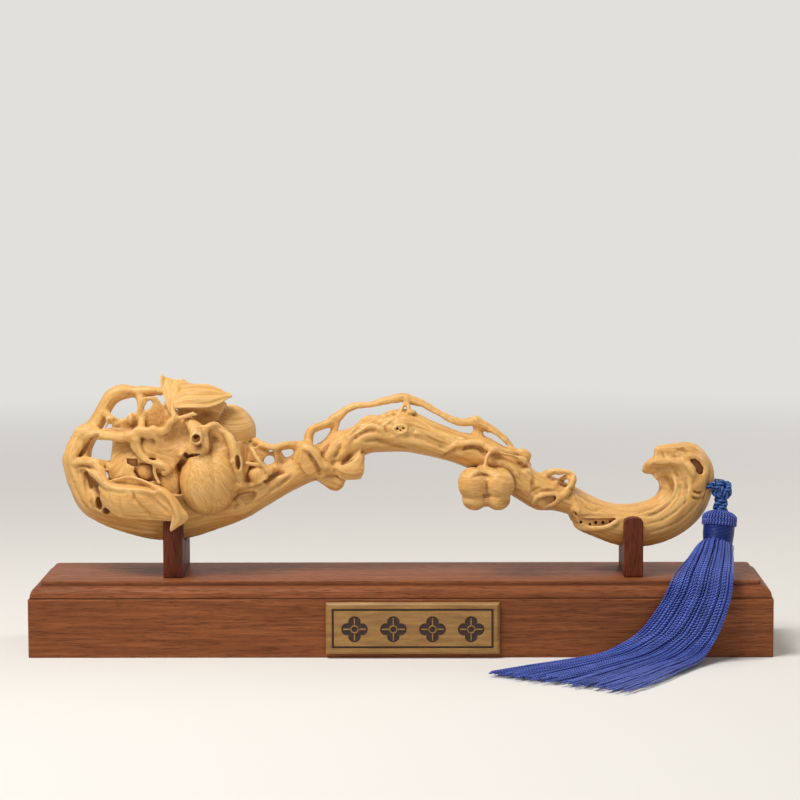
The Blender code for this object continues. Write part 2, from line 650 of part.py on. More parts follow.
def drill(start, end, radius):
    """A straight cylinder between two points, for cutting a bore."""
    start, end = Vector(start), Vector(end)
    ahead = (end - start).normalized()
    side = ahead.orthogonal().normalized()
    other = ahead.cross(side)
    rings = []
    for place in (start, end):
        rings.append([
            place + radius * (side * math.cos(a) + other * math.sin(a))
            for a in (2 * math.pi * i / 12 for i in range(12))
        ])
    return loft(rings)


def carving_shapes():
    """Each carved element's builder, which takes how far its surface is grown."""
    shapes = {
        "stem": lambda grow=0.0: sections(STEM, grow=grow),
        "tail_scroll": lambda grow=0.0: sections(TAIL, grow=grow, start_gap=CLEAR),
        "head_cup": lambda grow=0.0: sections(CUP, grow=grow, start_gap=CLEAR, end_gap=CLEAR),
        "head_branch": lambda grow=0.0: sections(BRANCH, grow=grow),
        "calyx_front": lambda grow=0.0: ellipsoid(*CALYX, grow),
        "neck_knot": lambda grow=0.0: ellipsoid(*NECK_KNOT, grow, rings=8, around=12),
        "stalk_stub": lambda grow=0.0: tube(STALK_STUB, grow, 10),
        "persimmon_small": small_fruit,
        "calyx_small": lambda grow=0.0: small_calyx(),
    }
    for name, (place, size) in FRUITS.items():
        shapes[name] = lambda grow=0.0, p=place, s=size: ellipsoid(p, s, grow, FRUIT_LOBES)
    for name, route in TWIGS.items():
        shapes[name] = lambda grow=0.0, r=route: tube(r, grow)
    for name, (midrib, across) in LEAVES.items():
        shapes[name] = lambda grow=0.0, m=midrib, a=across: blade(m, a, grow)
    return shapes


# What each carved element stops short of, so that neighbours seat on each other
SEATS = {
    "persimmon_rear": ["persimmon_front"],
    "head_cup": ["persimmon_front", "persimmon_left"],
    "calyx_front": ["persimmon_front", "persimmon_left", "persimmon_rear"],
    "cross_twig": ["head_branch", "calyx_front"],
    "web_upright": ["head_branch", "cross_twig"],
    "web_lower": ["head_branch", "web_upright"],
    "web_rear": ["web_upright", "cross_twig", "calyx_front", "leaf_top"],
    "hanging_vine": ["cross_twig", "persimmon_left", "calyx_front"],
    "leaf_front_stalk": ["head_branch"],
    "leaf_front": ["leaf_front_stalk", "persimmon_left"],
    "leaf_top": ["head_branch", "cross_twig", "persimmon_rear"],
    "leaf_back": ["persimmon_rear", "persimmon_left"],
    "calyx_lobe": ["calyx_front", "persimmon_front", "persimmon_rear"],
    "stalk_stub": ["calyx_front"],
    "neck_twig": ["persimmon_rear", "stem"],
    "neck_strut": ["neck_twig", "stem"],
    "neck_knot": ["stem", "head_cup", "persimmon_front"],
    "arch_twig": ["stem", "neck_twig"],
    "collar_twig": ["stem", "neck_twig", "arch_twig"],
    "arch_strut_left": ["arch_twig", "stem"],
    "arch_strut_crown": ["arch_twig", "stem"],
    "arch_strut_right": ["arch_twig", "stem"],
    "stem_leaf": ["stem", "collar_twig"],
    "stem_leaf_under": ["stem", "stem_leaf"],
    "fruit_twig": ["stem"],
    "fruit_stalk": ["fruit_twig", "stem"],
    "calyx_small": ["stem", "fruit_stalk"],
    "persimmon_small": ["stem", "fruit_stalk"],
    "bark_loop": ["stem", "tail_scroll"],
}


def make_carving(look, lift):
    shapes = carving_shapes()
    made = {name: piece(name, shape(), look, lift, 50) for name, shape in shapes.items()}
    grown = {}
    for name, carriers in SEATS.items():
        for carrier in carriers:
            if carrier not in grown:
                grown[carrier] = cutter("seat_of_" + carrier, shapes[carrier](CLEAR), lift)
            combine(made[name], grown[carrier])
    for name, hollow in (("stem", STEM_HOLLOW), ("tail_scroll", TAIL_HOLLOW)):
        shape = ellipsoid(*hollow, rings=8, around=16)
        combine(made[name], cutter("hollow_in_" + name, shape, lift))
    low = BASE_TOP + STALK_STUB[-1][2] * MM
    tip = Vector((STALK_STUB[-1][0] * MM, STALK_STUB[-1][1] * MM, low))
    root = Vector((STALK_STUB[1][0] * MM, STALK_STUB[1][1] * MM, low))
    ahead = (tip - root).normalized()
    combine(made["stalk_stub"], cutter("stub_bore", drill(root, tip + ahead * 5 * MM, STUB_BORE), lift))
    eye = (EYE_X, 0, BASE_TOP + EYE_HEIGHT)
    across = Vector((0, BASE_DEPTH / 2, 0))
    bore = drill(Vector(eye) - across, Vector(eye) + across, EYE_RADIUS)
    combine(made["tail_scroll"], cutter("cord_eye", bore, lift))


def along_tassel(profile, start, around=16):
    """A turned piece on the tassel's leaning axis, from (distance down, radius) pairs."""
    side = TASSEL_LEAN.cross(Vector((0, 1, 0))).normalized()
    other = TASSEL_LEAN.cross(side)
    rings = []
    for down, radius in profile:
        place = start + TASSEL_LEAN * down
        rings.append([
            place + radius * (side * math.cos(a) + other * math.sin(a))
            for a in (2 * math.pi * i / around for i in range(around))
        ])
    return rings


def make_loop(look, lift):
    """The loop from the knot through the eye in the tail's rim and back to the knot."""
    curve = bpy.data.curves.new("tassel_loop", "CURVE")
    curve.dimensions = "3D"
    curve.bevel_depth = LOOP_DIAMETER / 2
    curve.bevel_resolution = 2
    curve.use_fill_caps = True
    points = through(LOOP_ROUTE, 3)
    spline = curve.splines.new("POLY")
    spline.points.add(len(points) - 1)
    for point, place in zip(spline.points, points):
        point.co = (*(Vector(place) * MM + Vector((0, 0, BASE_TOP)) - lift.location), 1.0)
    curve.materials.append(look)
    made = bpy.data.objects.new("tassel_loop", curve)
    bpy.context.scene.collection.objects.link(made)
    made.parent = lift


def make_tassel(knot_look, cap_look, band_look, skirt_look, pivot):
    knot = pivot.location.copy()
    high, wide = KNOT_HALF_HEIGHT, KNOT_RADIUS
    profile = [(high * math.sin(t), wide * math.cos(t)) for t in
               (math.radians(-78 + 26 * i) for i in range(6))]
    waist = profile[-1][0]
    profile.append((waist + NECK_LENGTH * 0.35, NECK_RADIUS))
    profile.append((waist + NECK_LENGTH * 0.8, NECK_RADIUS * 1.05))
    profile.append((waist + NECK_LENGTH, NECK_RADIUS * 0.8))
    piece("button_knot", loft(along_tassel(profile, knot)), knot_look, pivot)
    start = knot + TASSEL_LEAN * (profile[-1][0] + CLEAR)
    dome = []
    for i in range(5):
        turn = math.radians(20 + 17.5 * i)
        dome.append((CAP_HEIGHT * 0.62 * (1 - math.cos(turn)), CAP_RADIUS * math.sin(turn)))
    drop = dome[0][0]
    dome = [(down - drop, radius) for down, radius in dome]
    dome.append((CAP_HEIGHT, CAP_RADIUS * 0.97))
    piece("tassel_cap", loft(along_tassel(dome, start, 20)), cap_look, pivot)
    start = start + TASSEL_LEAN * (CAP_HEIGHT + CLEAR)
    band = [(0, BAND_RADIUS), (BAND_HEIGHT * 0.5, BAND_RADIUS), (BAND_HEIGHT, BAND_FOOT_RADIUS)]
    piece("tassel_band", loft(along_tassel(band, start, 20)), band_look, pivot)
    start = start + TASSEL_LEAN * (BAND_HEIGHT + CLEAR)
    collar = [(0, BAND_FOOT_RADIUS * 0.98), (2 * MM, BAND_FOOT_RADIUS * 1.04)]
    top = along_tassel(collar, start, SKIRT_SIDES)
    piece("tassel_skirt", loft(top + skirt_rings(start, top[1])), skirt_look, pivot)


def skirt_rings(start, top):
    """The skirt's sections, each as a flat oval square to the way it flows."""
    middle = sum(top, Vector()) / len(top)
    first = (*middle, BAND_FOOT_RADIUS, BAND_FOOT_RADIUS, 0)
    rows = through([(*start, BAND_FOOT_RADIUS, BAND_FOOT_RADIUS, 0), first, *SKIRT], 2)[3:]
    places = [Vector(row[:3]) for row in rows]
    rings = []
    for i, (place, row) in enumerate(zip(places, rows)):
        ahead = (places[min(i + 1, len(places) - 1)] - places[max(i - 1, 0)]).normalized()
        turn = math.radians(row[5])
        wide = Vector((math.cos(turn), -math.sin(turn), 0))
        wide = (wide - ahead * wide.dot(ahead)).normalized()
        thick = ahead.cross(wide).normalized()
        ring = []
        for j in range(SKIRT_SIDES):
            angle = 2 * math.pi * j / SKIRT_SIDES
            ring.append(place + wide * row[3] * math.cos(angle) + thick * row[4] * math.sin(angle))
        rings.append(ring)
    return matched(top, rings)


def matched(first, rings):
    """The rings with their points turned to start beside the first ring's, and go its way round."""
    made = []
    before = first
    count = len(first)
    for ring in rings:
        best = None
        for way in (1, -1):
            for turn in range(count):
                tried = [ring[(turn + way * k) % count] for k in range(count)]
                cost = sum((a - b).length_squared for a, b in zip(tried, before))
                if best is None or cost < best[0]:
                    best = (cost, tried)
        before = best[1]
        made.append(before)
    return made


def main():
    clear_scene()
    stand = frame_empty("stand", (0, 0, 0))
    lift = frame_empty("scepter_lift", (0, 0, BASE_TOP))
    pivot = frame_empty("tassel_pivot", PIVOT + Vector((0, 0, BASE_TOP)))
    bpy.context.view_layer.update()
    base_wood = material("base_wood", (0.28, 0.11, 0.055), 0.5)
    cradle_wood = material("cradle_wood", (0.10, 0.028, 0.016), 0.45)
    plate_wood = material("plate_wood", (0.38, 0.24, 0.09), 0.4)
    boxwood = material("boxwood", (0.66, 0.42, 0.15), 0.42)
    silk_cord = material("silk_cord", (0.03, 0.09, 0.38), 0.5)
    silk_cap = material("silk_cap", (0.09, 0.13, 0.52), 0.5)
    silk_band = material("silk_band", (0.015, 0.04, 0.20), 0.35)
    silk_strands = material("silk_strands", (0.06, 0.09, 0.50), 0.45)
    make_plinth(base_wood, stand)
    make_nameplate(plate_wood, stand)
    make_cradle("left", -1, CUP, cradle_wood, stand)
    make_cradle("right", 1, TAIL, cradle_wood, stand)
    make_carving(boxwood, lift)
    make_loop(silk_cord, lift)
    make_tassel(silk_cord, silk_cap, silk_band, silk_strands, pivot)


main()
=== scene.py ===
import math

import bmesh
import bpy
import numpy as np
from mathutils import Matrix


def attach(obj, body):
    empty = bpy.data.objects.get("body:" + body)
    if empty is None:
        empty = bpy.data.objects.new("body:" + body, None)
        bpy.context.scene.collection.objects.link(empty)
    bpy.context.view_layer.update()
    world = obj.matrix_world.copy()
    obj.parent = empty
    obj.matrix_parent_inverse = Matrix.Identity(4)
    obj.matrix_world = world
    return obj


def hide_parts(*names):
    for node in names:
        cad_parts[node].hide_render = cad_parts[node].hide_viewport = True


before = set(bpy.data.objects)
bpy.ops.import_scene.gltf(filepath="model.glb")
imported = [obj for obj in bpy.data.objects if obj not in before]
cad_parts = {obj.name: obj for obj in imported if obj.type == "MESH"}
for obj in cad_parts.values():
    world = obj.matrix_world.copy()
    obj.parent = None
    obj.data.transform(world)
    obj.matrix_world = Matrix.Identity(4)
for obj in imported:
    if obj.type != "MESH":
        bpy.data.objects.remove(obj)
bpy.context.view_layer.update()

import openvdb
from mathutils import Matrix, Vector, kdtree

# Lengths are in mm, unless a line says otherwise. View places (u, v) are pixels of the 800 by 800 frame.
MM = 0.001
BASE_TOP = 33.5
STEP = 0.36  # the carving's voxel
FAR = 12.0  # the distance that stands for empty space
FRONT = -33.0  # a depth in front of the whole carving

# Camera
MIDDLE = 400  # pixels
FOCAL = 2810.78  # pixels
SENSOR = 36.0
EYE = np.array([18.508, -1260.252, 232.271])
YAW, PITCH, ROLL = -0.01479, 0.09554, 0.00377
AHEAD = np.array([math.sin(YAW) * math.cos(PITCH), math.cos(YAW) * math.cos(PITCH), -math.sin(PITCH)])
LEVEL = np.array([math.cos(YAW), -math.sin(YAW), 0.0])
BELOW = np.cross(AHEAD, LEVEL)
RIGHT = LEVEL * math.cos(ROLL) + BELOW * math.sin(ROLL)
DOWN = BELOW * math.cos(ROLL) - LEVEL * math.sin(ROLL)


def place_camera():
    data = bpy.data.cameras.new("camera")
    camera = bpy.data.objects.new("camera", data)
    bpy.context.scene.collection.objects.link(camera)
    turn = Matrix((Vector(RIGHT), Vector(-DOWN), Vector(-AHEAD))).transposed().to_4x4()
    turn.translation = Vector(EYE * MM)
    camera.matrix_world = turn
    data.sensor_width = SENSOR
    data.lens = FOCAL / (2 * MIDDLE) * SENSOR
    data.clip_start, data.clip_end = 0.01, 20.0
    bpy.context.scene.camera = camera


def rays(places):
    """Directions through view places, scaled so that each goes 1 mm along Y."""
    off = (np.asarray(places, float).reshape(-1, 2) - MIDDLE) / FOCAL
    way = AHEAD + np.outer(off[:, 0], RIGHT) + np.outer(off[:, 1], DOWN)
    return way / way[:, 1:2]


def at(u, v, y):
    """The point at depth y that the camera sees at a view place."""
    return EYE + rays([(u, v)])[0] * (y - EYE[1])


def seen(points):
    """View places of points."""
    d = np.asarray(points, float) - EYE
    far = d @ AHEAD
    return np.stack([MIDDLE + FOCAL * (d @ RIGHT) / far, MIDDLE + FOCAL * (d @ DOWN) / far], -1)


def through(rows, spans=8):
    """A smooth curve through the rows, with spans steps between each pair."""
    rows = np.asarray(rows, float)
    ends = np.vstack([2 * rows[0] - rows[1], rows, 2 * rows[-1] - rows[-2]])
    t = np.linspace(0, 1, spans, endpoint=False)[:, None]
    made = []
    for a, b, c, d in zip(ends, ends[1:], ends[2:], ends[3:]):
        made.append(0.5 * (2 * b + (c - a) * t + (2 * a - 5 * b + 4 * c - d) * t ** 2
                           + (3 * b - a - 3 * c + d) * t ** 3))
    return np.vstack([*made, rows[-1:]])


def run_of(points):
    """How far along a line of points each of them lies."""
    return np.r_[0, np.cumsum(np.linalg.norm(np.diff(points, axis=0), axis=1))]


def rows_at(s, run, rows):
    """The rows of a line between those that are given, at distances s along it."""
    return np.stack([np.interp(s, run, rows[:, i]) for i in range(rows.shape[1])], 1)


def evenly(points, gap):
    """The curve's rows again, about gap apart along their first three numbers."""
    points = np.asarray(points, float)
    run = run_of(points[:, :3])
    return rows_at(np.linspace(0, run[-1], max(2, int(round(run[-1] / gap)) + 1)), run, points)


def unit(rows):
    """Rows scaled to a length of 1."""
    return rows / np.maximum(np.linalg.norm(rows, axis=-1, keepdims=True), 1e-9)


def carried(side, ahead):
    """A side direction carried along a line without twisting."""
    rows = []
    for a in ahead:
        side = unit(side - a * (side @ a))
        rows.append(side)
    return np.array(rows)


def circle(count):
    """Cosines and sines of count even steps round a circle."""
    angle = np.arange(count) * 2 * math.pi / count
    return np.cos(angle), np.sin(angle)


def triangles(quads):
    """Two triangles for each four-cornered face."""
    return np.concatenate([quads[:, [0, 1, 2]], quads[:, [0, 2, 3]]])


def tube_faces(rows, count, capped=True):
    """Triangles of a tube of rows rings. Where it is capped, each end meets in a point, and the two
    points come after the rings."""
    i, k = np.arange(rows - 1)[:, None] * count, np.arange(count)
    a, b = (i + k).ravel(), (i + (k + 1) % count).ravel()
    faces = triangles(np.stack([a, b, b + count, a + count], -1))
    if not capped:
        return faces
    last = (rows - 1) * count
    return np.concatenate([faces, np.stack([0 * k + rows * count, (k + 1) % count, k], -1),
                           np.stack([0 * k + rows * count + 1, k + last, (k + 1) % count + last], -1)])


def nearest(samples, points):
    """The index of the sample that is nearest to each point."""
    tree = kdtree.KDTree(len(samples))
    for i, sample in enumerate(samples):
        tree.insert(sample, i)
    tree.balance()
    return np.array([tree.find(p)[1] for p in points])


# Smooth noise
dice = np.random.default_rng(11)
SHUFFLE = dice.permutation(256)
SLOPES = unit(dice.normal(size=(256, 3)))


def noise(p):
    """A smooth random value for each point, about from -1 to 1."""
    cell = np.floor(p).astype(int)
    f = p - cell
    w = f * f * f * (f * (f * 6 - 15) + 10)
    total = np.zeros(len(p))
    for corner in np.ndindex(2, 2, 2):
        h = 0
        for index in ((cell + corner) & 255).T:
            h = SHUFFLE[(h + index) & 255]
        share = np.prod(np.where(np.array(corner) == 1, w, 1 - w), axis=1)
        total += share * np.einsum("ij,ij->i", SLOPES[h], f - corner)
    return total * 1.5


def rough(p, octaves):
    """Noise with finer and weaker noise added to it."""
    return sum(0.5 ** i * noise(p * 2 ** i + 17.3 * i) for i in range(octaves))


class Clay:
    """A solid as a grid of signed distances, negative inside. A patch is a part of the grid with the
    distances round a shape that is joined to the clay or cut from it."""

    def __init__(self, low, high):
        self.first = np.floor(np.array(low) / STEP).astype(int)
        self.size = np.ceil(np.array(high) / STEP).astype(int) - self.first + 1
        self.f = np.full(self.size, FAR, np.float32)

    def window(self, low, high):
        """The part of the grid between two corners, and the places of its rows."""
        a = np.clip(np.floor(np.array(low) / STEP).astype(int) - self.first, 0, self.size)
        b = np.clip(np.ceil(np.array(high) / STEP).astype(int) - self.first + 1, 0, self.size)
        part = tuple(slice(i, max(i, j)) for i, j in zip(a, b))
        axes = [((np.arange(s.start, s.stop) + o) * STEP).astype(np.float32)
                for s, o in zip(part, self.first)]
        return part, axes[0][:, None, None], axes[1][None, :, None], axes[2][None, None, :]

    def join(self, patch, soft):
        part, d = patch
        f = self.f[part]
        h = np.maximum(soft - np.abs(f - d), 0) / soft
        self.f[part] = np.minimum(f, d) - h * h * soft * 0.25

    def cut(self, patch, soft):
        part, d = patch
        f = self.f[part]
        h = np.maximum(soft - np.abs(f + d), 0) / soft
        self.f[part] = np.maximum(f, -d) + h * h * soft * 0.25

    def tube(self, rows, pad=4.0):
        """A patch round a route of (x, y, z, radius) rows."""
        rows = np.asarray(rows, float)
        reach = rows[:, 3].max() + pad
        part, x, y, z = self.window(rows[:, :3].min(0) - reach, rows[:, :3].max(0) + reach)
        shape = np.broadcast_shapes(x.shape, y.shape, z.shape)
        d = np.full(shape, FAR, np.float32)
        origin = np.array([x.flat[0], y.flat[0], z.flat[0]]) if min(shape) else np.zeros(3)
        for a, b in zip(rows, rows[1:]):
            low = np.floor((np.minimum(a, b)[:3] - reach - origin) / STEP).astype(int)
            high = np.ceil((np.maximum(a, b)[:3] + reach - origin) / STEP).astype(int) + 1
            s = tuple(slice(max(0, i), max(0, j)) for i, j in zip(low, high))
            xs, ys, zs = x[s[0]] - a[0], y[:, s[1]] - a[1], z[:, :, s[2]] - a[2]
            g = (b - a)[:3]
            t = np.clip((xs * g[0] + ys * g[1] + zs * g[2]) / max(g @ g, 1e-9), 0, 1)
            gap = np.sqrt((xs - t * g[0]) ** 2 + (ys - t * g[1]) ** 2 + (zs - t * g[2]) ** 2)
            d[s] = np.minimum(d[s], gap - (a[3] + t * (b[3] - a[3])))
        return part, d

    def ball(self, place, size, pad=4.0, turn=0.0):
        """A patch round an ellipsoid, turned in the XZ plane by degrees."""
        size = np.array(size, float)
        part, x, y, z = self.window(np.array(place) - size.max() - pad, np.array(place) + size.max() + pad)
        x, y, z = x - place[0], y - place[1], z - place[2]
        c, s = math.cos(math.radians(turn)), math.sin(math.radians(turn))
        p, q, r = (x * c + z * s) / size[0], y / size[1], (z * c - x * s) / size[2]
        near = np.sqrt(p * p + q * q + r * r)
        slope = np.sqrt((p / size[0]) ** 2 + (q / size[1]) ** 2 + (r / size[2]) ** 2)
        return part, (near * (near - 1) / np.maximum(slope, 1e-6)).astype(np.float32)

    def solid(self, points, faces, pad=6):
        """A patch round a closed mesh."""
        grid = openvdb.FloatGrid.createLevelSetFromPolygons(
            np.asarray(points, np.float32), triangles=np.asarray(faces, np.uint32),
            transform=openvdb.createLinearTransform(voxelSize=STEP), halfWidth=float(pad) / STEP)
        part, *_ = self.window(points.min(0) - pad, points.max(0) + pad)
        d = np.empty([s.stop - s.start for s in part], np.float32)
        grid.copyToArray(d, ijk=tuple(int(s.start + o) for s, o in zip(part, self.first)))
        return part, d

    def prism(self, outline, near, far):
        """A patch for what the camera sees inside an outline, between two depths."""
        outline = np.asarray(outline, float)
        corners = np.array([at(u, v, y) for u, v in outline for y in (near, far)])
        part, x, y, z = self.window(corners.min(0) - 4, corners.max(0) + 4)
        dx, dy, dz = x - EYE[0], y - EYE[1], z - EYE[2]
        scale, across, down = [dx * a[0] + dy * a[1] + dz * a[2] for a in (AHEAD / FOCAL, RIGHT, DOWN)]
        u, v = MIDDLE + across / scale, MIDDLE + down / scale
        best = np.full(u.shape, 1e9, np.float32)
        inside = np.zeros(u.shape, bool)
        for (ax, ay), (bx, by) in zip(outline, np.roll(outline, -1, 0)):
            ex, ey = bx - ax, by - ay
            t = np.clip(((u - ax) * ex + (v - ay) * ey) / (ex * ex + ey * ey), 0, 1)
            best = np.minimum(best, (u - ax - t * ex) ** 2 + (v - ay - t * ey) ** 2)
            inside ^= ((ay > v) != (by > v)) & (u < ex * (v - ay) / (ey if ey else 1e-9) + ax)
        flat = np.sqrt(best) * scale * np.where(inside, -1, 1)
        return part, np.maximum(np.maximum(near - y, y - far), flat).astype(np.float32)

    def sample(self, points, grid=None):
        """The distance, or another grid's value, at each point."""
        grid = self.f if grid is None else grid
        q = np.clip(np.asarray(points, float) / STEP - self.first, 0, self.size - 1.001)
        i = q.astype(int)
        f = q - i
        total = 0.0
        for c in np.ndindex(2, 2, 2):
            x, y, z = np.moveaxis(i + c, -1, 0)
            total = total + np.prod(np.where(np.array(c) == 1, f, 1 - f), axis=-1) * grid[x, y, z]
        return total

    def normal(self, points):
        """The way out of the clay at each point."""
        n = np.stack([self.sample(points + STEP * d) - self.sample(points - STEP * d) for d in np.eye(3)], -1)
        return n / np.maximum(np.linalg.norm(n, axis=-1, keepdims=True), 1e-6)

    def touch(self, places):
        """Where the camera first meets the clay at view places."""
        places = np.asarray(places, float).reshape(-1, 2)
        pace = 0.2
        way = rays(places)
        start = EYE + way * (FRONT - EYE[1])
        run = np.arange(0, -2 * FRONT, pace)
        solid = self.sample(start[:, None, :] + way[:, None, :] * run[None, :, None]) < 0
        hit = solid.any(1)
        first = solid.argmax(1).astype(float)
        if hit.any():
            order = np.arange(len(places))
            first = np.interp(order, order[hit], first[hit])
        return start + way * (first * pace)[:, None]

    def stroke(self, route, radius, rise, soft=0.8, taper=2.5):
        """A ridge that stands rise proud along a route of view places, or a groove if rise is negative."""
        line = through([(u, v, radius) for u, v in route])
        rows = evenly(np.column_stack([self.touch(line[:, :2]), line[:, 2]]), 0.8)
        near = self.normal(rows[:, :3])
        run = run_of(rows[:, :3])
        end = np.clip(np.minimum(run, run[-1] - run) / taper, 0, 1)[:, None]
        end = end * end * (3 - 2 * end)
        if rise < 0:
            rows[:, :3] += near * (rows[:, 3:] + rise * end + (1 - end) * 0.1)
            self.cut(self.tube(rows, 2.0), soft)
        else:
            rows[:, :3] -= near * (rows[:, 3:] - rise * end + (1 - end) * 0.2)
            self.join(self.tube(rows, 2.0), soft * 1.5)

    def pit(self, place, size, deep, turn=0.0, soft=0.5):
        """An oval hole of half sizes size, deep into the surface."""
        point = self.touch([place])[0]
        near = self.normal(point[None])[0]
        self.cut(self.ball(point - near * (deep * 0.35), (size[0], deep * 0.75, size[1]), 3, turn), soft)


# The carving's sections: (inner x, inner height, outer x, outer height, half depth, keel), with heights
# above the base's top
BRANCH = [
    (-107.6, 80.2, -107.6, 83, 1.8, 0), (-118.3, 79.6, -118.3, 84.3, 2.6, 0),
    (-124.3, 78.7, -125.8, 85.1, 3.4, 0), (-128.2, 76.3, -131.8, 82.7, 3.9, 0),
    (-130.5, 73, -135.8, 77, 4.2, 0), (-133.5, 67, -140.4, 69.6, 4.8, 0), (-136.5, 61.5, -147, 64, 5.8, 0),
    (-138.8, 57, -151, 57.5, 6.6, 0), (-139.5, 50.5, -152.8, 50.5, 7.2, 0), (-138.3, 43.5, -150.8, 41, 8, 0)]
CUP = [
    (-138.3, 43.5, -150.8, 41, 8, 0), (-135, 38.5, -146.3, 30.5, 10.5, 0.3),
    (-128.5, 37.5, -139.8, 24.1, 14, 0.7), (-119, 37.5, -127.5, 18.7, 17, 1),
    (-108.5, 37.5, -111.5, 14.8, 18.5, 1), (-98, 37.5, -97, 15.3, 18.5, 1),
    (-87, 38, -83.5, 19.3, 16.5, 0.9), (-76, 38.6, -74, 22.7, 12.5, 0.5), (-65, 39.6, -67, 26, 8.6, 0)]
STEM = [
    (-65, 39.6, -67, 26, 8.6, 0), (-56, 47, -53.5, 34.3, 9, 0), (-46.5, 54, -44, 39.3, 9, 0),
    (-38, 58, -35.5, 42.8, 9, 0), (-28, 63.5, -24.5, 48, 9, 0), (-18.5, 68.5, -15, 53.5, 9, 0),
    (-8.5, 71.5, -7, 54.5, 9.3, 0), (1, 74, 2, 54.5, 9.8, 0), (9.5, 71.5, 8.5, 53.5, 9.6, 0),
    (18.5, 67.3, 15, 52, 9.3, 0), (28, 63.3, 24, 49.5, 9, 0), (38, 61.5, 32.5, 46, 9.5, 0),
    (49, 56.5, 42, 39.5, 10, 0), (57.5, 50.5, 50.5, 34.5, 10, 0), (66.5, 44.7, 60.5, 28.5, 10, 0),
    (73.5, 41, 69, 27.8, 10, 0), (79, 38.4, 76.5, 25.8, 9.8, 0)]
TAIL = [
    (79, 38.4, 76.5, 25.8, 9.8, 0), (85.3, 34.9, 79.5, 19.5, 10.5, 0), (93, 31.5, 88, 15.6, 11.2, 0),
    (100.7, 30.5, 98.5, 11.9, 11.8, 0), (107.5, 31.4, 108.5, 11.4, 11.8, 0),
    (112.5, 33.5, 119, 13.5, 11.8, 0), (116, 36.5, 129.5, 19.3, 12, 0), (117.5, 39.9, 137.5, 28.3, 12, 0),
    (117.3, 42, 141.2, 40, 11.8, 0), (116.5, 43.3, 140, 49.5, 11.2, 0), (114.8, 43.9, 133.5, 57.4, 10.2, 0),
    (112.6, 44.3, 125, 58.6, 9, 0), (110.5, 44.7, 116.5, 56.3, 7.5, 0), (108.6, 45.7, 111.5, 50.5, 4, 0)]
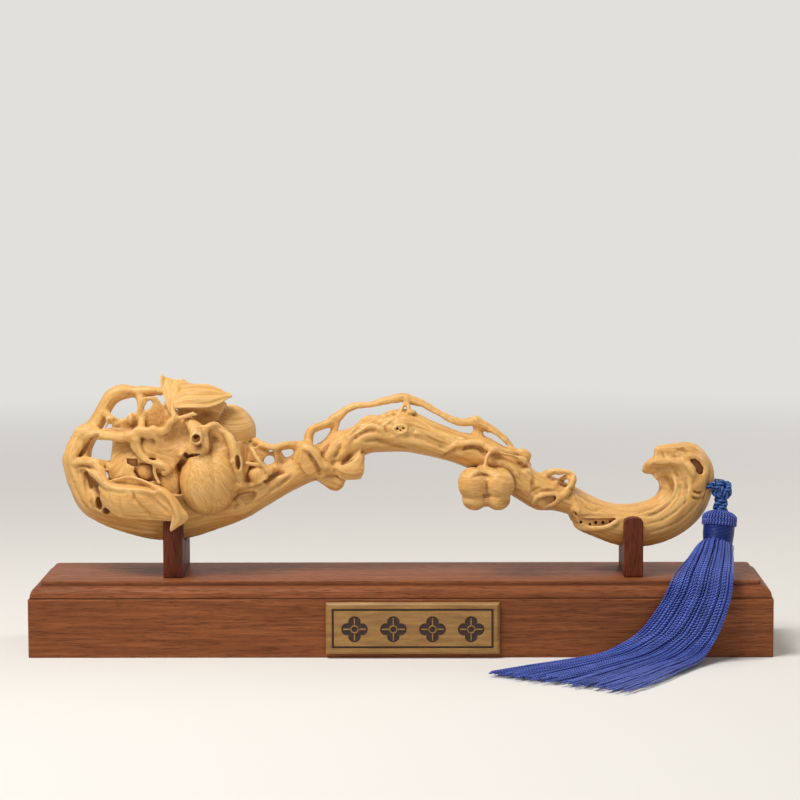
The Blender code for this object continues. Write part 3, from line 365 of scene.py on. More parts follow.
# Twigs: (x, y, height above the base's top, radius), and how softly each runs into its carrier
TWIGS = {
    "cross_twig": (2.5, [(-143, -2, 63.5, 3.4), (-136, -8, 63.8, 2.7), (-129, -13, 63, 2.2),
                         (-121, -16, 63.2, 2.1), (-115.6, -17, 65.6, 2.5), (-109, -18, 64.8, 2.1),
                         (-103.6, -18, 65, 2), (-101.2, -16.5, 69, 1.9), (-100.4, -13, 73.4, 1.7)]),
    "hanging_vine": (1.2, [(-119.5, -16.5, 63, 1.5), (-118.4, -17.5, 58.5, 1.1), (-115, -18.3, 54.5, 1.05),
                           (-110, -18.5, 51.5, 1), (-104.6, -17.6, 49.6, 0.9)]),
    "web_upright": (2.2, [(-117.4, -1, 81, 1.9), (-116.8, -3.5, 76.2, 1.4), (-116, -7.5, 71.5, 1.5),
                          (-115.4, -15, 66.4, 1.8)]),
    "web_lower": (1.6, [(-132.2, -4, 72.2, 1.8), (-128.6, -6.6, 69.4, 1.4), (-124.6, -8.2, 69, 1.3),
                        (-119.8, -8.6, 71, 1.3), (-116.2, -7.4, 71.8, 1.4)]),
    "web_rear": (1.6, [(-116.6, -3, 78.4, 1.3), (-110, -4, 78.4, 1.4), (-105.4, -6.4, 74.8, 1.5),
                       (-103.2, -11, 70.4, 1.5), (-102.8, -15.4, 67.6, 1.6)]),
    "leaf_front_stalk": (2.5, [(-144, -4, 50, 2.8), (-139, -8.5, 50.6, 2.2), (-134.5, -12.5, 48.6, 1.8),
                               (-131.4, -15, 44.4, 1.3)]),
    "neck_twig": (1.6, [(-65, -2.6, 59.6, 1.8), (-61.5, -6, 58.4, 1.5), (-57, -7.2, 57.4, 1.4),
                        (-51, -6.8, 58.8, 1.35), (-45, -5, 58.4, 1.7)]),
    "neck_strut": (2, [(-56.5, -7, 57, 1), (-55.6, -6.6, 52, 0.9), (-56.5, -5.6, 46, 1.3)]),
    "collar_twig": (1.6, [(-45.5, -5.5, 52.5, 1.8), (-42.8, -8.4, 56.6, 1.6), (-38.2, -9.2, 55.4, 1.4),
                          (-34.6, -9.4, 50, 1.3), (-30.2, -8.4, 46.6, 1.5), (-27, -6.4, 49, 1.3)]),
    "arch_twig": (2, [(-41.8, -4, 53.6, 2.3), (-41.6, -4, 58, 2.1), (-41, -3.2, 62.8, 2.1),
                      (-39.4, -2.8, 65.2, 2), (-36.5, -1.8, 66.2, 1.8), (-32.4, -0.9, 67.8, 1.9),
                      (-28, -0.4, 70.4, 2), (-23.6, 0, 73.8, 2.1), (-19.2, 0, 75.2, 1.8),
                      (-13, 0, 75.7, 1.65), (-7.7, 0, 77.1, 1.9), (-2.5, 0, 78.4, 2.05), (1.4, 0, 79.2, 2),
                      (4.8, 0, 78.1, 2), (9.8, 0, 76, 1.95), (14.2, 0, 73.5, 1.9), (18.6, 0, 71, 1.85),
                      (23, 0, 68.8, 1.9), (27.4, 0, 67.6, 1.85), (32.6, 0, 67.7, 2), (36.6, -0.2, 66.9, 2.1),
                      (40.6, -0.5, 64.6, 2.1), (44.9, -0.8, 61.3, 2.05), (48.4, -1, 57.8, 2),
                      (50.6, -1, 53.6, 1.9)]),
    "arch_strut_left": (2.2, [(-30, -0.8, 69.8, 1.5), (-27.6, -0.6, 65.5, 1.4), (-26, -0.5, 61, 2)]),
    "arch_strut_crown": (1, [(3.4, -0.4, 78, 1.3), (1.2, -2.6, 75.4, 0.85), (-0.8, -5.2, 71.8, 0.75),
                             (-2.6, -7.6, 68.2, 0.7)]),
    "arch_strut_right": (2.5, [(34, 0, 68.6, 2), (34.6, 0, 64.5, 1.8), (35, 0, 59, 2.6)]),
    "fruit_twig": (1.2, [(25.5, -6.4, 57.5, 1.1), (31, -8.6, 59.4, 1), (36.4, -9.4, 59, 0.9),
                         (41, -10.6, 56.4, 0.95), (46, -10.4, 54.4, 0.9), (51, -9.8, 53.2, 0.95),
                         (55.5, -8.6, 51.5, 1.2)]),
    "fruit_stalk": (1, [(41.2, -11, 56, 1), (38.8, -13, 53.6, 0.95), (37.8, -14, 48, 1.1)]),
    "bark_loop": (1.4, [(64.2, -4.2, 42.4, 1.4), (67.2, -5.5, 45.4, 1.2), (71.6, -6.3, 46.4, 1.1),
                        (75.8, -6.8, 46, 1.1), (77.7, -7.4, 44.2, 1.1), (77, -8.2, 41.4, 1.15),
                        (74.6, -8.8, 38.6, 1.3), (72.4, -8.4, 35, 1.5)]),
}
# Fruits: middle and half sizes, with heights above the base's top
FRUITS = {
    "persimmon_front": ((-86.2, -12.0, 43.0), (13.9, 13.5, 15.0)),
    "persimmon_left": ((-116.6, -3.5, 45.0), (16.0, 15.0, 17.0)),
    "persimmon_rear": ((-78.5, 3.5, 63.0), (13.2, 13.0, 13.0)),
}


def raised(rows):
    """Rows of (x, y, height above the base's top, ...), in heights above the table."""
    return np.array(rows, float) + np.r_[0, 0, BASE_TOP, np.zeros(len(rows[0]) - 3)]


def sheet_mesh(lines, thick, relief, rim=0.55, pace=0.5):
    """A closed thin sheet lofted across lines of (u, v, depth) places. Gives its points, its faces,
    the grid of its front, and each point's distance along and across it."""
    length = run_of([at(*q) for q in lines[0]])[-1]
    middle = [at(*line[len(line) // 2]) for line in lines]
    width = run_of(middle)[-1]
    along, across = int(length / pace) + 8, int(width / pace) + 8
    rows = []
    for line in lines:
        curve = np.array([at(*q) for q in through(line, 10)])
        run = run_of(curve)
        rows.append(rows_at(np.linspace(0, run[-1], along + 1), run, curve))
    spread = through(np.reshape(rows, (len(rows), -1)), 24).reshape(-1, along + 1, 3)
    place = np.linspace(0, len(spread) - 1, across + 1)
    low = np.minimum(place.astype(int), len(spread) - 2)
    part = (place - low)[:, None, None]
    grid = spread[low] * (1 - part) + spread[low + 1] * part
    n = unit(np.cross(np.gradient(grid, axis=1), np.gradient(grid, axis=0)))
    if n[..., 1].mean() > 0:
        n = -n
    t, s = np.meshgrid(np.linspace(0, 1, across + 1), np.linspace(0, 1, along + 1), indexing="ij")
    inward = np.minimum(np.minimum(t, 1 - t) * across, np.minimum(s, 1 - s) * along)
    fat = thick / 2 * (rim + (1 - rim) * np.clip(inward / 6, 0, 1) ** 0.6)
    up = (relief(s, t) if relief else 0) * np.clip(inward / 3, 0, 1)
    front, back = grid + n * (fat + up)[..., None], grid - n * (fat - up * 0.5)[..., None]
    points = np.concatenate([front.reshape(-1, 3), back.reshape(-1, 3)])
    corner = np.arange((across + 1) * (along + 1)).reshape(across + 1, along + 1)
    a, b, c, d = (q.ravel() for q in (corner[:-1, :-1], corner[:-1, 1:], corner[1:, 1:], corner[1:, :-1]))
    edge = np.concatenate([corner[0], corner[1:, -1], corner[-1, -2::-1], corner[-2:0:-1, 0]])
    after = np.roll(edge, -1)
    faces = np.concatenate([np.stack([a, b, c, d], -1), np.stack([d, c, b, a], -1) + corner.size,
                            np.stack([after, edge, edge + corner.size, after + corner.size], -1)])
    p = points[faces[0]]
    if np.cross(p[1] - p[0], p[2] - p[0]) @ n[0, 0] < 0:
        faces = faces[:, ::-1]
    on = np.tile(np.stack([s.ravel() * length, t.ravel() * width], -1), (2, 1))
    return points, triangles(faces), front, on


# The carving's clay, and the flows of its grain
clay = Clay((-158, -27, 42), (152, 24, 126))
flows = []


def add_flow(name, line, rings):
    """Grain that follows a line of (x, y, z, radius) rows, with rings of points of its surface."""
    centre = line[:, :3]
    ahead = unit(np.gradient(centre, axis=0))
    side = carried(np.array([0.0, 1.0, 0.0]), ahead)
    start = 400.0 * len(flows)  # keeps each flow's figure its own
    station = np.repeat(np.arange(len(rings)), rings.shape[1])
    flows.append({"name": name, "samples": rings.reshape(-1, 3), "station": station, "comb": 0.0,
                  "axes": (centre, np.stack([ahead, side, np.cross(ahead, side)], 1), run_of(centre) + start),
                  "size": line[:, 3]})


def add_grain(name, samples, grain_at, comb, size):
    """Grain given by a function of the place, with one size and how finely combed its wood is."""
    flows.append({"name": name, "samples": samples, "station": np.zeros(len(samples), int), "comb": comb,
                  "grain_at": grain_at, "size": np.array([size])})


def put_loft(name, stations):
    """The outside of a run of sections, joined to the clay."""
    rows, sides = through(stations), 64
    inner, outer, keel = rows[:, [0, 1]], rows[:, [2, 3]], rows[:, 5:]
    middle, reach = (inner + outer) / 2, (inner - outer) / 2
    c, s = circle(sides)
    boat = np.sign(s) * ((1 + c) / 2) ** 0.7
    x, z = middle[:, :1] + reach[:, :1] * c, middle[:, 1:] + reach[:, 1:] * c + BASE_TOP
    rings = np.stack([x, rows[:, 4:5] * ((1 - keel) * s + keel * boat), z], -1)
    points = np.vstack([rings.reshape(-1, 3), rings[0].mean(0), rings[-1].mean(0)])
    clay.join(clay.solid(points, tube_faces(len(rows), sides)), 0.5)
    line = np.column_stack([middle[:, 0], 0 * middle[:, 0], middle[:, 1] + BASE_TOP,
                            np.linalg.norm(reach, axis=1)])
    add_flow(name, line, rings[:, ::4])


def put_twig(name, route, soft):
    """A rounded twig of uneven thickness, joined to the clay."""
    line = through(raised(route))
    line[:, 3] *= 1 + 0.16 * noise(line[:, :3] * 0.35 + 5)
    clay.join(clay.tube(line), soft)
    c, s = circle(8)
    ahead = unit(np.gradient(line[:, :3], axis=0))
    one = unit(np.cross(ahead, [0.3, 0.9, 0.1]))
    two = np.cross(ahead, one)
    out = one[:, None] * c[:, None] + two[:, None] * s[:, None]
    add_flow(name, line, line[:, None, :3] + line[:, None, 3:] * out)


def put_fruit(name, pole, stretch, turn, depth):
    """A persimmon: four lobes round an upright axis. Its lines run from its pole, or along stretch."""
    place, size = FRUITS[name]
    middle = raised([place])[0]
    rows, count = 88, 180
    t, p = np.meshgrid(np.linspace(0, math.pi, rows + 2)[1:-1],
                       np.linspace(0, 2 * math.pi, count, endpoint=False), indexing="ij")
    way = np.stack([np.sin(t) * np.cos(p), np.sin(t) * np.sin(p), np.cos(t)], -1).reshape(-1, 3)
    way = np.vstack([way, [0, 0, 1], [0, 0, -1]])
    around = np.arctan2(way[:, 1], way[:, 0]) + turn
    crease = np.abs(around * 2 / math.pi % 1 - 0.5) * 2
    swell = 1 + depth * np.hypot(way[:, 0], way[:, 1]) * ((1 - crease ** 2.2) - 0.75)
    body = way * np.array(size) * swell[:, None]
    clay.join(clay.solid(middle + body, tube_faces(rows, count)[:, ::-1]), 1.0)
    pole = unit(np.array(pole))
    one = unit(np.cross(pole, [0.0, 1.0, 0.0]))
    two = np.cross(pole, one)

    def grain_at(points):
        off = points - middle
        if stretch is None:
            w = unit(off / np.array(size))
            angle = np.arccos(np.clip(w @ pole, -1, 1))
            ring = np.maximum(np.sin(angle), 1e-3) ** 0.5
            return np.column_stack([angle * 14 + 40 * len(flows), (w @ one) / ring * 16,
                                    (w @ two) / ring * 16])
        along = unit(np.array(stretch))
        a = unit(np.cross(along, [0, 1, 0]))
        bow = np.linalg.norm(off - np.outer(off @ a, a), axis=1)
        return np.column_stack([off @ along, off @ a - 0.02 * (off @ along) ** 2, bow * 0.2])

    add_grain(name, (middle + body)[::5], grain_at, 1.0, 6.0)


def put_small_fruit():
    """The hanging persimmon: four lobes above four lesser ones."""
    middle = np.array([38.4, -14.5, BASE_TOP + 39.5])
    for z, size in ((2.0, (8.6, 9.2, 6.5)), (-4.0, (7.2, 7.8, 4.0))):
        clay.join(clay.ball(middle + (0, 0, z), size), 1.0)
    spots = [middle + (0, 0, 9.4)]
    k = np.arange(160) + 0.5
    z = 1 - 2 * k / len(k)
    turn, ring = k * math.pi * (3 - math.sqrt(5)), np.sqrt(1 - z * z)
    globe = np.stack([ring * np.cos(turn), ring * np.sin(turn), z], 1)
    for degrees in (45, 135, 225, 315):
        a = math.radians(degrees)
        for wide, deep, up, size, soft in ((8.4529, 6.9286, 2.3, (6.6, 6.4, 6.8), 0.7),
                                           (7.3528, 6.0802, -4.2, (5.5, 5.3, 4.9), 0.5)):
            place = middle + (wide * math.cos(a), deep * math.sin(a), up)
            clay.join(clay.ball(place, size), soft)
            spots += list(place + globe * np.array(size))

    def grain_at(points):
        off = points - middle
        ring = np.arctan2(off[:, 1], off[:, 0])
        return np.column_stack([ring * 11 + 900, off[:, 2] * 1.1, np.hypot(off[:, 0], off[:, 1]) * 0.5])

    add_grain("persimmon_small", np.array(spots), grain_at, 0.8, 4.0)


def put_sheet(name, lines, thick, relief=None, rim=0.55, soft=0.6):
    """A thin carved sheet, joined to the clay."""
    points, faces, grid, on = sheet_mesh(lines, thick, relief, rim)
    clay.join(clay.solid(points, faces, 3), soft)
    ahead = unit(np.gradient(grid, axis=1))
    side = np.gradient(grid, axis=0)
    side = unit(side - ahead * (side * ahead).sum(2, keepdims=True))
    ahead, side = (np.tile(q.reshape(-1, 3), (2, 1)) for q in (ahead, side))
    start = 300.0 + 90.0 * len(flows)

    def grain_at(places):
        near = nearest(points, places)
        gap = places - points[near]
        return np.column_stack([start + on[near, 0] + (gap * ahead[near]).sum(1),
                                on[near, 1] + (gap * side[near]).sum(1), np.zeros(len(places))])

    add_grain(name, points[::2], grain_at, 0.25, 1.0)


# Leaves: lines of (u, v, depth) places from one edge of each sheet to the other
LEAF_TOP_FAN = [
    [(171.5, 417, -16), (167.5, 408, -13), (164, 396, -9), (160.2, 384, -6.5), (160.5, 374, -5)],
    [(172, 417, -16), (170, 407, -13.5), (168, 396, -10), (166, 386, -6.5), (167, 377.5, -3.5)],
    [(173, 417, -16), (173, 407, -14), (173, 396, -10.5), (174, 388, -7), (176, 379.5, -2.5)],
    [(174.5, 416, -16), (176, 406, -14), (177.5, 396, -11), (180, 388, -7.5), (184, 379.8, -2.5)]]
LEAF_TOP = [
    [(175, 409, -15), (184, 408, -16), (198, 408, -16.5), (210, 407, -15.5), (221, 403, -13),
     (228, 398.5, -10), (232, 397, -8)],
    [(174, 406, -14.5), (184, 402, -14), (198, 401, -14.5), (210, 400, -13.5), (221, 398, -11),
     (228, 396.5, -9), (232, 396, -7.5)],
    [(173.5, 403, -13.5), (182, 396, -11.5), (197, 394, -11), (209, 394, -10), (220, 395, -8.5),
     (228, 395.5, -7), (231.5, 395, -6.5)],
    [(173, 400, -11.5), (179, 390.5, -8), (192, 388, -7), (207, 388.5, -6), (218, 391, -5.5),
     (226, 394.5, -5.5), (231, 394, -5.5)],
    [(173, 396, -10), (178, 384, -4.5), (183.5, 380, -2.5), (190, 383.8, -2.5), (200, 384.6, -2),
     (208, 384.3, -2.2), (215, 388.3, -2.5), (224, 392.5, -3.5), (230.5, 393.2, -4.5)]]
LEAF_FRONT_BLADE = [
    [(100, 480, -13.5), (110, 488, -17.5), (120, 490.5, -20), (135, 491, -21.8), (152, 492.5, -22.6),
     (166.5, 497.5, -22.7), (173.5, 508, -22.9)],
    [(99, 489, -14), (108, 498, -18), (120, 503, -20.4), (135, 505, -21.8), (150, 506, -21.6),
     (162, 509, -21.8), (174.5, 515, -22.4)],
    [(99, 497, -12), (107, 507.5, -16), (117, 515, -17.6), (128, 518, -18.6), (143, 519, -19.2),
     (157, 520, -19.8), (172.5, 521, -21)]]
LEAF_FRONT_POCKET = [
    [(108, 483.5, -17), (118, 488.7, -19.8), (130, 489.7, -21.4), (142, 490.2, -22.2), (155, 492.5, -22.8)],
    [(108.5, 482, -15.2), (120, 483.6, -15.6), (132, 483.6, -16.6), (145, 486.5, -18), (157, 491, -22)],
    [(109, 480.7, -15.4), (118, 478, -17), (128, 476.4, -18.2), (140, 478.8, -19.4), (149, 482.5, -20.4),
     (159, 486.5, -21.6)]]
LEAF_FRONT_FLAP = [
    [(151, 488, -20.6), (160, 492.5, -22.2), (168, 500, -23.2), (172, 510, -23.6), (171.5, 520, -23),
     (169.5, 531, -21.8)],
    [(151, 486, -20.6), (162.5, 490.5, -22.2), (171, 498, -23.6), (177.5, 509.5, -24.2), (179, 520, -23.6),
     (170.3, 531, -21.8)],
    [(150, 483.2, -19.8), (164.5, 488.5, -20.8), (174.5, 497, -21.8), (182.5, 508, -22.2),
     (188, 518.5, -21.8), (171, 531, -21.6)]]
STEM_LEAF = [
    [(333, 467, -7.5), (337, 474, -9.5), (341, 478.3, -10.5), (350, 480, -11), (361, 479, -10.5)],
    [(334, 466, -8), (340, 468, -11), (347, 470.5, -12), (356, 471, -11.5), (364, 470, -9.5)],
    [(336, 464, -8), (345, 464.5, -10.5), (353, 461, -10), (359, 456.5, -8.5), (364, 453, -6)]]
STEM_LEAF_UNDER = [
    [(318, 479, -4), (327, 486, -6.5), (337, 491, -7)],
    [(322, 478, -6), (333, 482, -8), (342, 487.5, -7)],
    [(326, 476, -7), (337, 478, -8.5), (346, 480, -7)]]
CALYX_LOBE = [
    [(235, 441, -13.5), (236.5, 452, -15), (238, 466, -15.5), (239.5, 485, -14)],
    [(243, 442.5, -5.5), (243, 455, -7), (242.5, 468, -9.5), (241.5, 486, -12.5)],
    [(256, 443, -2.5), (253, 452, -3.5), (249, 467, -7), (244, 486, -11)]]


def leaf_back_lines():
    """The lines of the leaf behind the head, from its midrib of (x, y, height, half width)."""
    back = [(-119, 6.8, 58.6, 2.2), (-112, 11.5, 63.5, 6.5), (-102.5, 14.8, 65, 8), (-92, 16, 62.5, 5.5),
            (-83.5, 16.4, 60, 1)]
    across = np.array([0.1, -0.5, 0.86])
    lines = []
    for share in (-1, -0.5, 0, 0.5, 1):
        line = []
        for x, y, z, half in back:
            p = np.array([x, y, z + BASE_TOP]) + across * half * share
            p[1] -= 0.12 * half * share * share
            (u, v), = seen([p])
            line.append((u, v, p[1]))
        lines.append(line)
    return lines


def vein_relief(count, lean, depth, mid=0.5):
    """Side veins that run from a midrib at share mid towards the edges."""
    def relief(s, t):
        off = np.abs(t - mid) * 2
        line = np.abs(((s - off * lean) * count) % 1 - 0.5)
        groove = -depth * np.exp(-((0.5 - line) / 0.10) ** 2) * np.clip(off * 5, 0, 1)
        rib = depth * 1.6 * np.exp(-(off / 0.09) ** 2)
        return groove + rib
    return relief


def on_fruit(u, v, off=0.0, other=-8.0):
    """The depth at which the camera first meets a fruit grown by off."""
    way = rays([(u, v)])[0]
    best = None
    for place, size in FRUITS.values():
        middle = raised([place])[0]
        half = np.array(size) + off
        o, d = (EYE - middle) / half, way / half
        b, c = o @ d, o @ o - 1
        under = b * b - (d @ d) * c
        if under > 0:
            y = EYE[1] + (-b - math.sqrt(under)) / (d @ d)
            best = y if best is None else min(best, y)
    return other if best is None else best


def spot_route(rows):
    """A route of (x, y, z, radius) from rows of (u, v, depth, radius)."""
    return np.array([(*at(u, v, y), r) for u, v, y, r in rows])


def add_route(rows, soft=1.0, bumps=0.1):
    """Joins a rounded route of (u, v, depth, radius) rows, its radius uneven by bumps."""
    line = through(spot_route(rows))
    line[:, 3] *= 1 + bumps * noise(line[:, :3] * 0.4 + 8)
    clay.join(clay.tube(line), soft)


def cut_route(rows, soft=0.6):
    """Cuts a rounded route of such rows."""
    clay.cut(clay.tube(through(spot_route(rows), 6), 2.5), soft)


def window(outline, near=-30, far=30, soft=1.2):
    """Cuts what the camera sees inside an outline, between two depths."""
    clay.cut(clay.prism(outline, near, far), soft)


def groove(route, radius, depth, taper=3.0):
    """A groove along a route of view places, shallower towards its ends."""
    clay.stroke(route, radius, -depth, 0.7, taper)


def ridge(route, radius, height, taper=3.0):
    """A ridge along a route of view places, lower towards its ends."""
    clay.stroke(route, radius, height, 0.9, taper)


def slab(outline, near, far, soft=1.5):
    """Joins wood inside an outline, between two depths."""
    clay.join(clay.prism(outline, near, far), soft)


def ball_at(u, v, y, size, soft=1.5, cut=False, turn=0.0):
    """Joins an ellipsoid at a place in view, or cuts it."""
    (clay.cut if cut else clay.join)(clay.ball(at(u, v, y), size, 4.0, turn), soft)


def sunk(outline, deep, soft=1.0):
    """Lowers the surface inside an outline by about deep mm."""
    y = clay.touch([np.mean(outline, 0)])[0, 1]
    clay.cut(clay.prism(outline, FRONT, y + deep), soft)


def carve_web():
    """Wood between the branch, the cross twig and the top leaf."""
    slab([(104, 430), (108, 419), (114, 417), (121, 420.5), (132, 416.5), (137, 411), (142, 398), (158, 396),
          (166, 405), (169, 412), (164, 424), (158, 432), (150, 435), (120, 436), (104, 434)], -9.5, -5, 1.4)
    window([(144, 407.5), (147.5, 401), (151, 400.2), (153, 403), (151, 407.5), (147, 410), (144.5, 410)],
           soft=0.7)
    window([(155.5, 395), (160.5, 396), (164.5, 404), (162, 404.5)], soft=0.5)
    window([(105.5, 428), (109, 423.5), (112.5, 424.5), (112, 429)], soft=0.6)
    cut_route([(110, 426, -10.5, 1.1), (118, 427.5, -10, 0.9)], 0.6)
    ball_at(110, 418.5, -9, (2, 1.6, 1.3), 1.2)
    ball_at(131, 418.5, -10, (1.3, 1.8, 2.6), 1.2)
    cut_route([(168, 412, -12.5, 0.8), (166.5, 419, -12, 1.5), (162.5, 425, -11.5, 1.7),
               (157, 427, -11.5, 1)], 0.9)


def carve_left_fruit():
    """The left fruit's straighter flank, and a cavity with steps below the vine."""
    slab([(112.5, 433), (138, 433), (140, 466), (111, 474), (110.5, 462), (112, 448)], -11, -3.5, 4)
    ball_at(150, 448.5, -10.4, (7, 7.8, 8), 2.6)
    window([(136, 463.5), (150, 463), (155, 465.5), (160, 470), (156.5, 480), (148, 481.5), (139, 479),
            (134, 472)], -30, -15, 2.2)
    window([(126.8, 458.6), (137.5, 458.8), (137.5, 466.5), (132, 466), (127.2, 463.4)], -30, -14.2, 0.6)
    window([(147, 458), (158.5, 458.2), (159, 462), (152, 463)], -30, -16, 0.4)
    ball_at(145.4, 472, -14.2, (3.6, 3.4, 4), 0.8)
    ball_at(160, 467.5, -15, (2.4, 2.4, 2.6), 0.8)
    add_route([(129, 436, -17, 2), (134.5, 437.5, -17.4, 2.5), (137.5, 446, -17.6, 1.7),
               (141, 454, -18.2, 1.3), (147, 460.5, -18.8, 1.05), (156, 463.5, -18.8, 0.95),
               (163, 465.5, -19.2, 1.2), (168, 470, -19.2, 1.2), (164, 473, -18.5, 1.1)], 0.8)
    add_route([(154, 465, -18.3, 0.8), (155, 474, -18, 0.75), (159, 483, -18.6, 0.8)], 0.7)


def carve_front_fruit():
    """The front fruit's left lobe."""
    ball_at(171.5, 485, -11.5, (6.2, 7.4, 10), 0.6)
    add_route([(180, 476, -13, 2.6), (180.5, 494, -13, 2.6)], 1.5)


def carve_front_calyx():
    """The front fruit's calyx: a lump with a hollowed face, a tongue, a lip and an open stalk, and the
    wood that it stands on."""
    clay.join(clay.ball((-95, -10, 60.8 + BASE_TOP), (9.6, 8, 10.4)), 2)
    clay.join(clay.ball((-65.4, -5.5, 43.4 + BASE_TOP), (4.6, 4.6, 4.8)), 2)
    slab([(158, 437), (167, 424), (183, 420.5), (196, 424), (206, 436), (207.5, 446), (204, 450),
          (190, 452.5), (181, 453), (178, 462), (173, 469), (166, 472), (159.5, 466), (156.5, 452)],
         -17.6, -6, 3)
    ball_at(178, 466, -7, (5.5, 5, 6), 2)
    slab([(221, 451), (231, 445), (237.5, 455), (240, 470), (240, 486), (231, 488), (227, 474)],
         -15.6, -5, 3)
    add_route([(142, 390.5, -0.2, 2), (150, 390.5, -0.8, 1.9), (157, 390.8, -3, 1.75),
               (164, 391.5, -7, 1.5)], 1.2, 0)
    slab([(203, 430), (212, 427), (222, 431), (230, 440), (232, 450), (222, 453), (212, 450), (204, 446)],
         -15, -5, 1.5)
    slab([(173, 400), (200, 401), (222, 399), (227, 404), (218, 419), (208, 427), (200, 428), (193, 421),
          (180, 415)], -9, -2, 2.5)
    ball_at(177, 434.5, -25.2, (10.4, 10.6, 9.6), 1.4, True)
    ball_at(216, 440.5, -21.5, (7.4, 7.8, 6), 1, True, -25)
    ball_at(203, 416, -15.5, (9.6, 8, 4.2), 1, True, 12)
    add_route([(187, 420, -15, 1.7), (191.5, 425, -17.5, 2.2), (195, 432, -20, 2.6),
               (196.3, 438.6, -22.3, 2.75)], 1.2, 0.05)
    add_route([(189, 420, -15.8, 1), (197, 425, -17, 1.4), (202.5, 432, -17.8, 1.7),
               (204.8, 439, -18.8, 1.8), (205.8, 446, -20, 1.5)], 2.4)
    cut_route([(196.3, 438.8, -25.5, 2), (196, 438, -21.5, 1.8), (195.2, 435.5, -17.5, 1.5)], 0.3)
    lip = [(u, v, on_fruit(u, v, 1.2, -19), r) for u, v, r in ((163, 472.5, 0.7), (168, 472, 0.8),
                                                               (173.5, 468.5, 0.8), (178.3, 462, 0.85),
                                                               (180.5, 454.5, 1.1), (188, 452.5, 1.3),
                                                               (197, 451.5, 1.5), (204.5, 449.5, 1.6),
                                                               (207.5, 446, 1.3))]
    add_route(lip, 1.2)
    gap = [(u, v, on_fruit(u, v, 0.4, -18.5), r) for u, v, r in ((182.6, 456.8, 0.7), (184.2, 455.5, 1.4),
                                                                 (188, 455.6, 1.2), (194, 455, 0.8),
                                                                 (201, 453.4, 0.6))]
    cut_route(gap, 0.4)
    add_route([(205, 430, -18.2, 1.3), (209, 426.5, -16.8, 1.4), (215, 424.5, -14.5, 1.4),
               (221, 428, -13.5, 1.2), (227, 434, -14.5, 1.3), (231.5, 441, -16, 1.5),
               (234.5, 450, -16.6, 1.5), (236, 460, -16.4, 1.4), (237.5, 472, -15.6, 1.4),
               (240, 484, -14.4, 1.3)], 2)
    add_route([(212, 432, -13.8, 0.8), (217, 434.5, -13.6, 1.1), (221.5, 439, -13.8, 0.8)], 1.4)


def carve_junction():
    """The twigs that meet above the calyx."""
    add_route([(176, 419, -17, 1.3), (181, 417.8, -17.8, 1), (186, 416.2, -18.2, 0.95),
               (191, 415, -18.4, 0.8), (196, 414.4, -18.4, 0.55)], 0.7)
    add_route([(189, 415.4, -18.3, 0.8), (193.5, 412.6, -18.5, 0.5)], 0.5)
    add_route([(172.4, 392, -9.5, 0.5), (172.4, 402, -13, 0.9), (172.8, 411, -16, 1.1),
               (174.5, 418, -17.4, 1.6), (169.5, 423.5, -17.6, 1.6), (166.5, 429, -17.8, 1.7),
               (160, 431.5, -17.8, 1.8), (153, 429.5, -17.8, 1.9)], 0.9)


def carve_calyx_lobe():
    """The lobe under the rear fruit's lower edge."""
    window([(235.5, 442.6), (257.5, 443.8), (253, 470), (238, 470)], -30, -4.8, 0.5)
    put_sheet("calyx_lobe", CALYX_LOBE, 1.5)
    add_route([(229, 436, -14.6, 1.4), (232.6, 444, -15.6, 1.9), (235.4, 453, -15.9, 2.3),
               (237.2, 463, -15.8, 2.6), (239, 473, -15, 2.3), (241, 484, -13.6, 1.8)], 1.2)
    clay.pit((238.6, 462.6), (1.1, 3.4), 3.4, turn=6, soft=0.6)


def carve_top_leaf():
    """The top leaf: a fan that stands on its stalk, and a long blade with arching veins."""
    put_sheet("leaf_top", LEAF_TOP_FAN, 1.4,
              lambda s, t: 0.28 * np.cos(t * math.pi * 5) * np.clip(s * 2, 0, 1), 0.6, 0.6)
    put_sheet("leaf_top", LEAF_TOP, 1.4,
              lambda s, t: 0.6 * np.cos(t * math.pi * 7 + 1.2 * s) * np.sin(math.pi * s) ** 0.6, 0.6, 0.5)


def carve_front_leaf():
    """The front leaf: blade, pocket along the rib, and the side that turns down to the tip."""
    put_sheet("leaf_front", LEAF_FRONT_BLADE, 1.5, None, 0.6, 0.6)
    put_sheet("leaf_front", LEAF_FRONT_POCKET, 1.3, None, 0.6, 0.5)
    put_sheet("leaf_front", LEAF_FRONT_FLAP, 1.4, None, 0.6, 0.5)
    add_route([(82, 467, -6, 2.2), (91, 470.5, -10.5, 1.9), (99.5, 478, -14.3, 1.6),
               (108, 485.5, -17.4, 1.3), (117, 489, -19.8, 1.1), (130, 490.2, -21.6, 1),
               (143, 490.8, -22.6, 0.95), (155, 493, -23.2, 0.7)], 0.8, 0.04)
    ball_at(158.4, 492.2, -21.8, (1.8, 1.2, 1.2), 1)
    groove([(118.6, 497), (120, 503), (121, 512), (124, 517)], 0.9, 0.5)
    ridge([(122.6, 496), (124, 503), (127, 513)], 1.4, 0.4)
    groove([(131, 492), (136, 500), (143, 508), (152, 517)], 1.1, 1)
    ridge([(136, 494), (142, 501), (150, 509), (158, 517)], 1.6, 0.6)
    groove([(108.6, 493), (109.4, 499), (112, 507)], 0.8, 0.4)
    ridge([(126, 495), (130, 493.5), (131.5, 497), (128.5, 500)], 0.7, 0.5)
    groove([(146, 494), (153, 500), (162, 508), (170, 514)], 1, 0.8)
    groove([(156, 494), (162, 499), (169, 506)], 0.8, 0.5)
    ridge([(157, 487.5), (166, 495), (173, 505), (177, 515)], 0.8, 0.3)


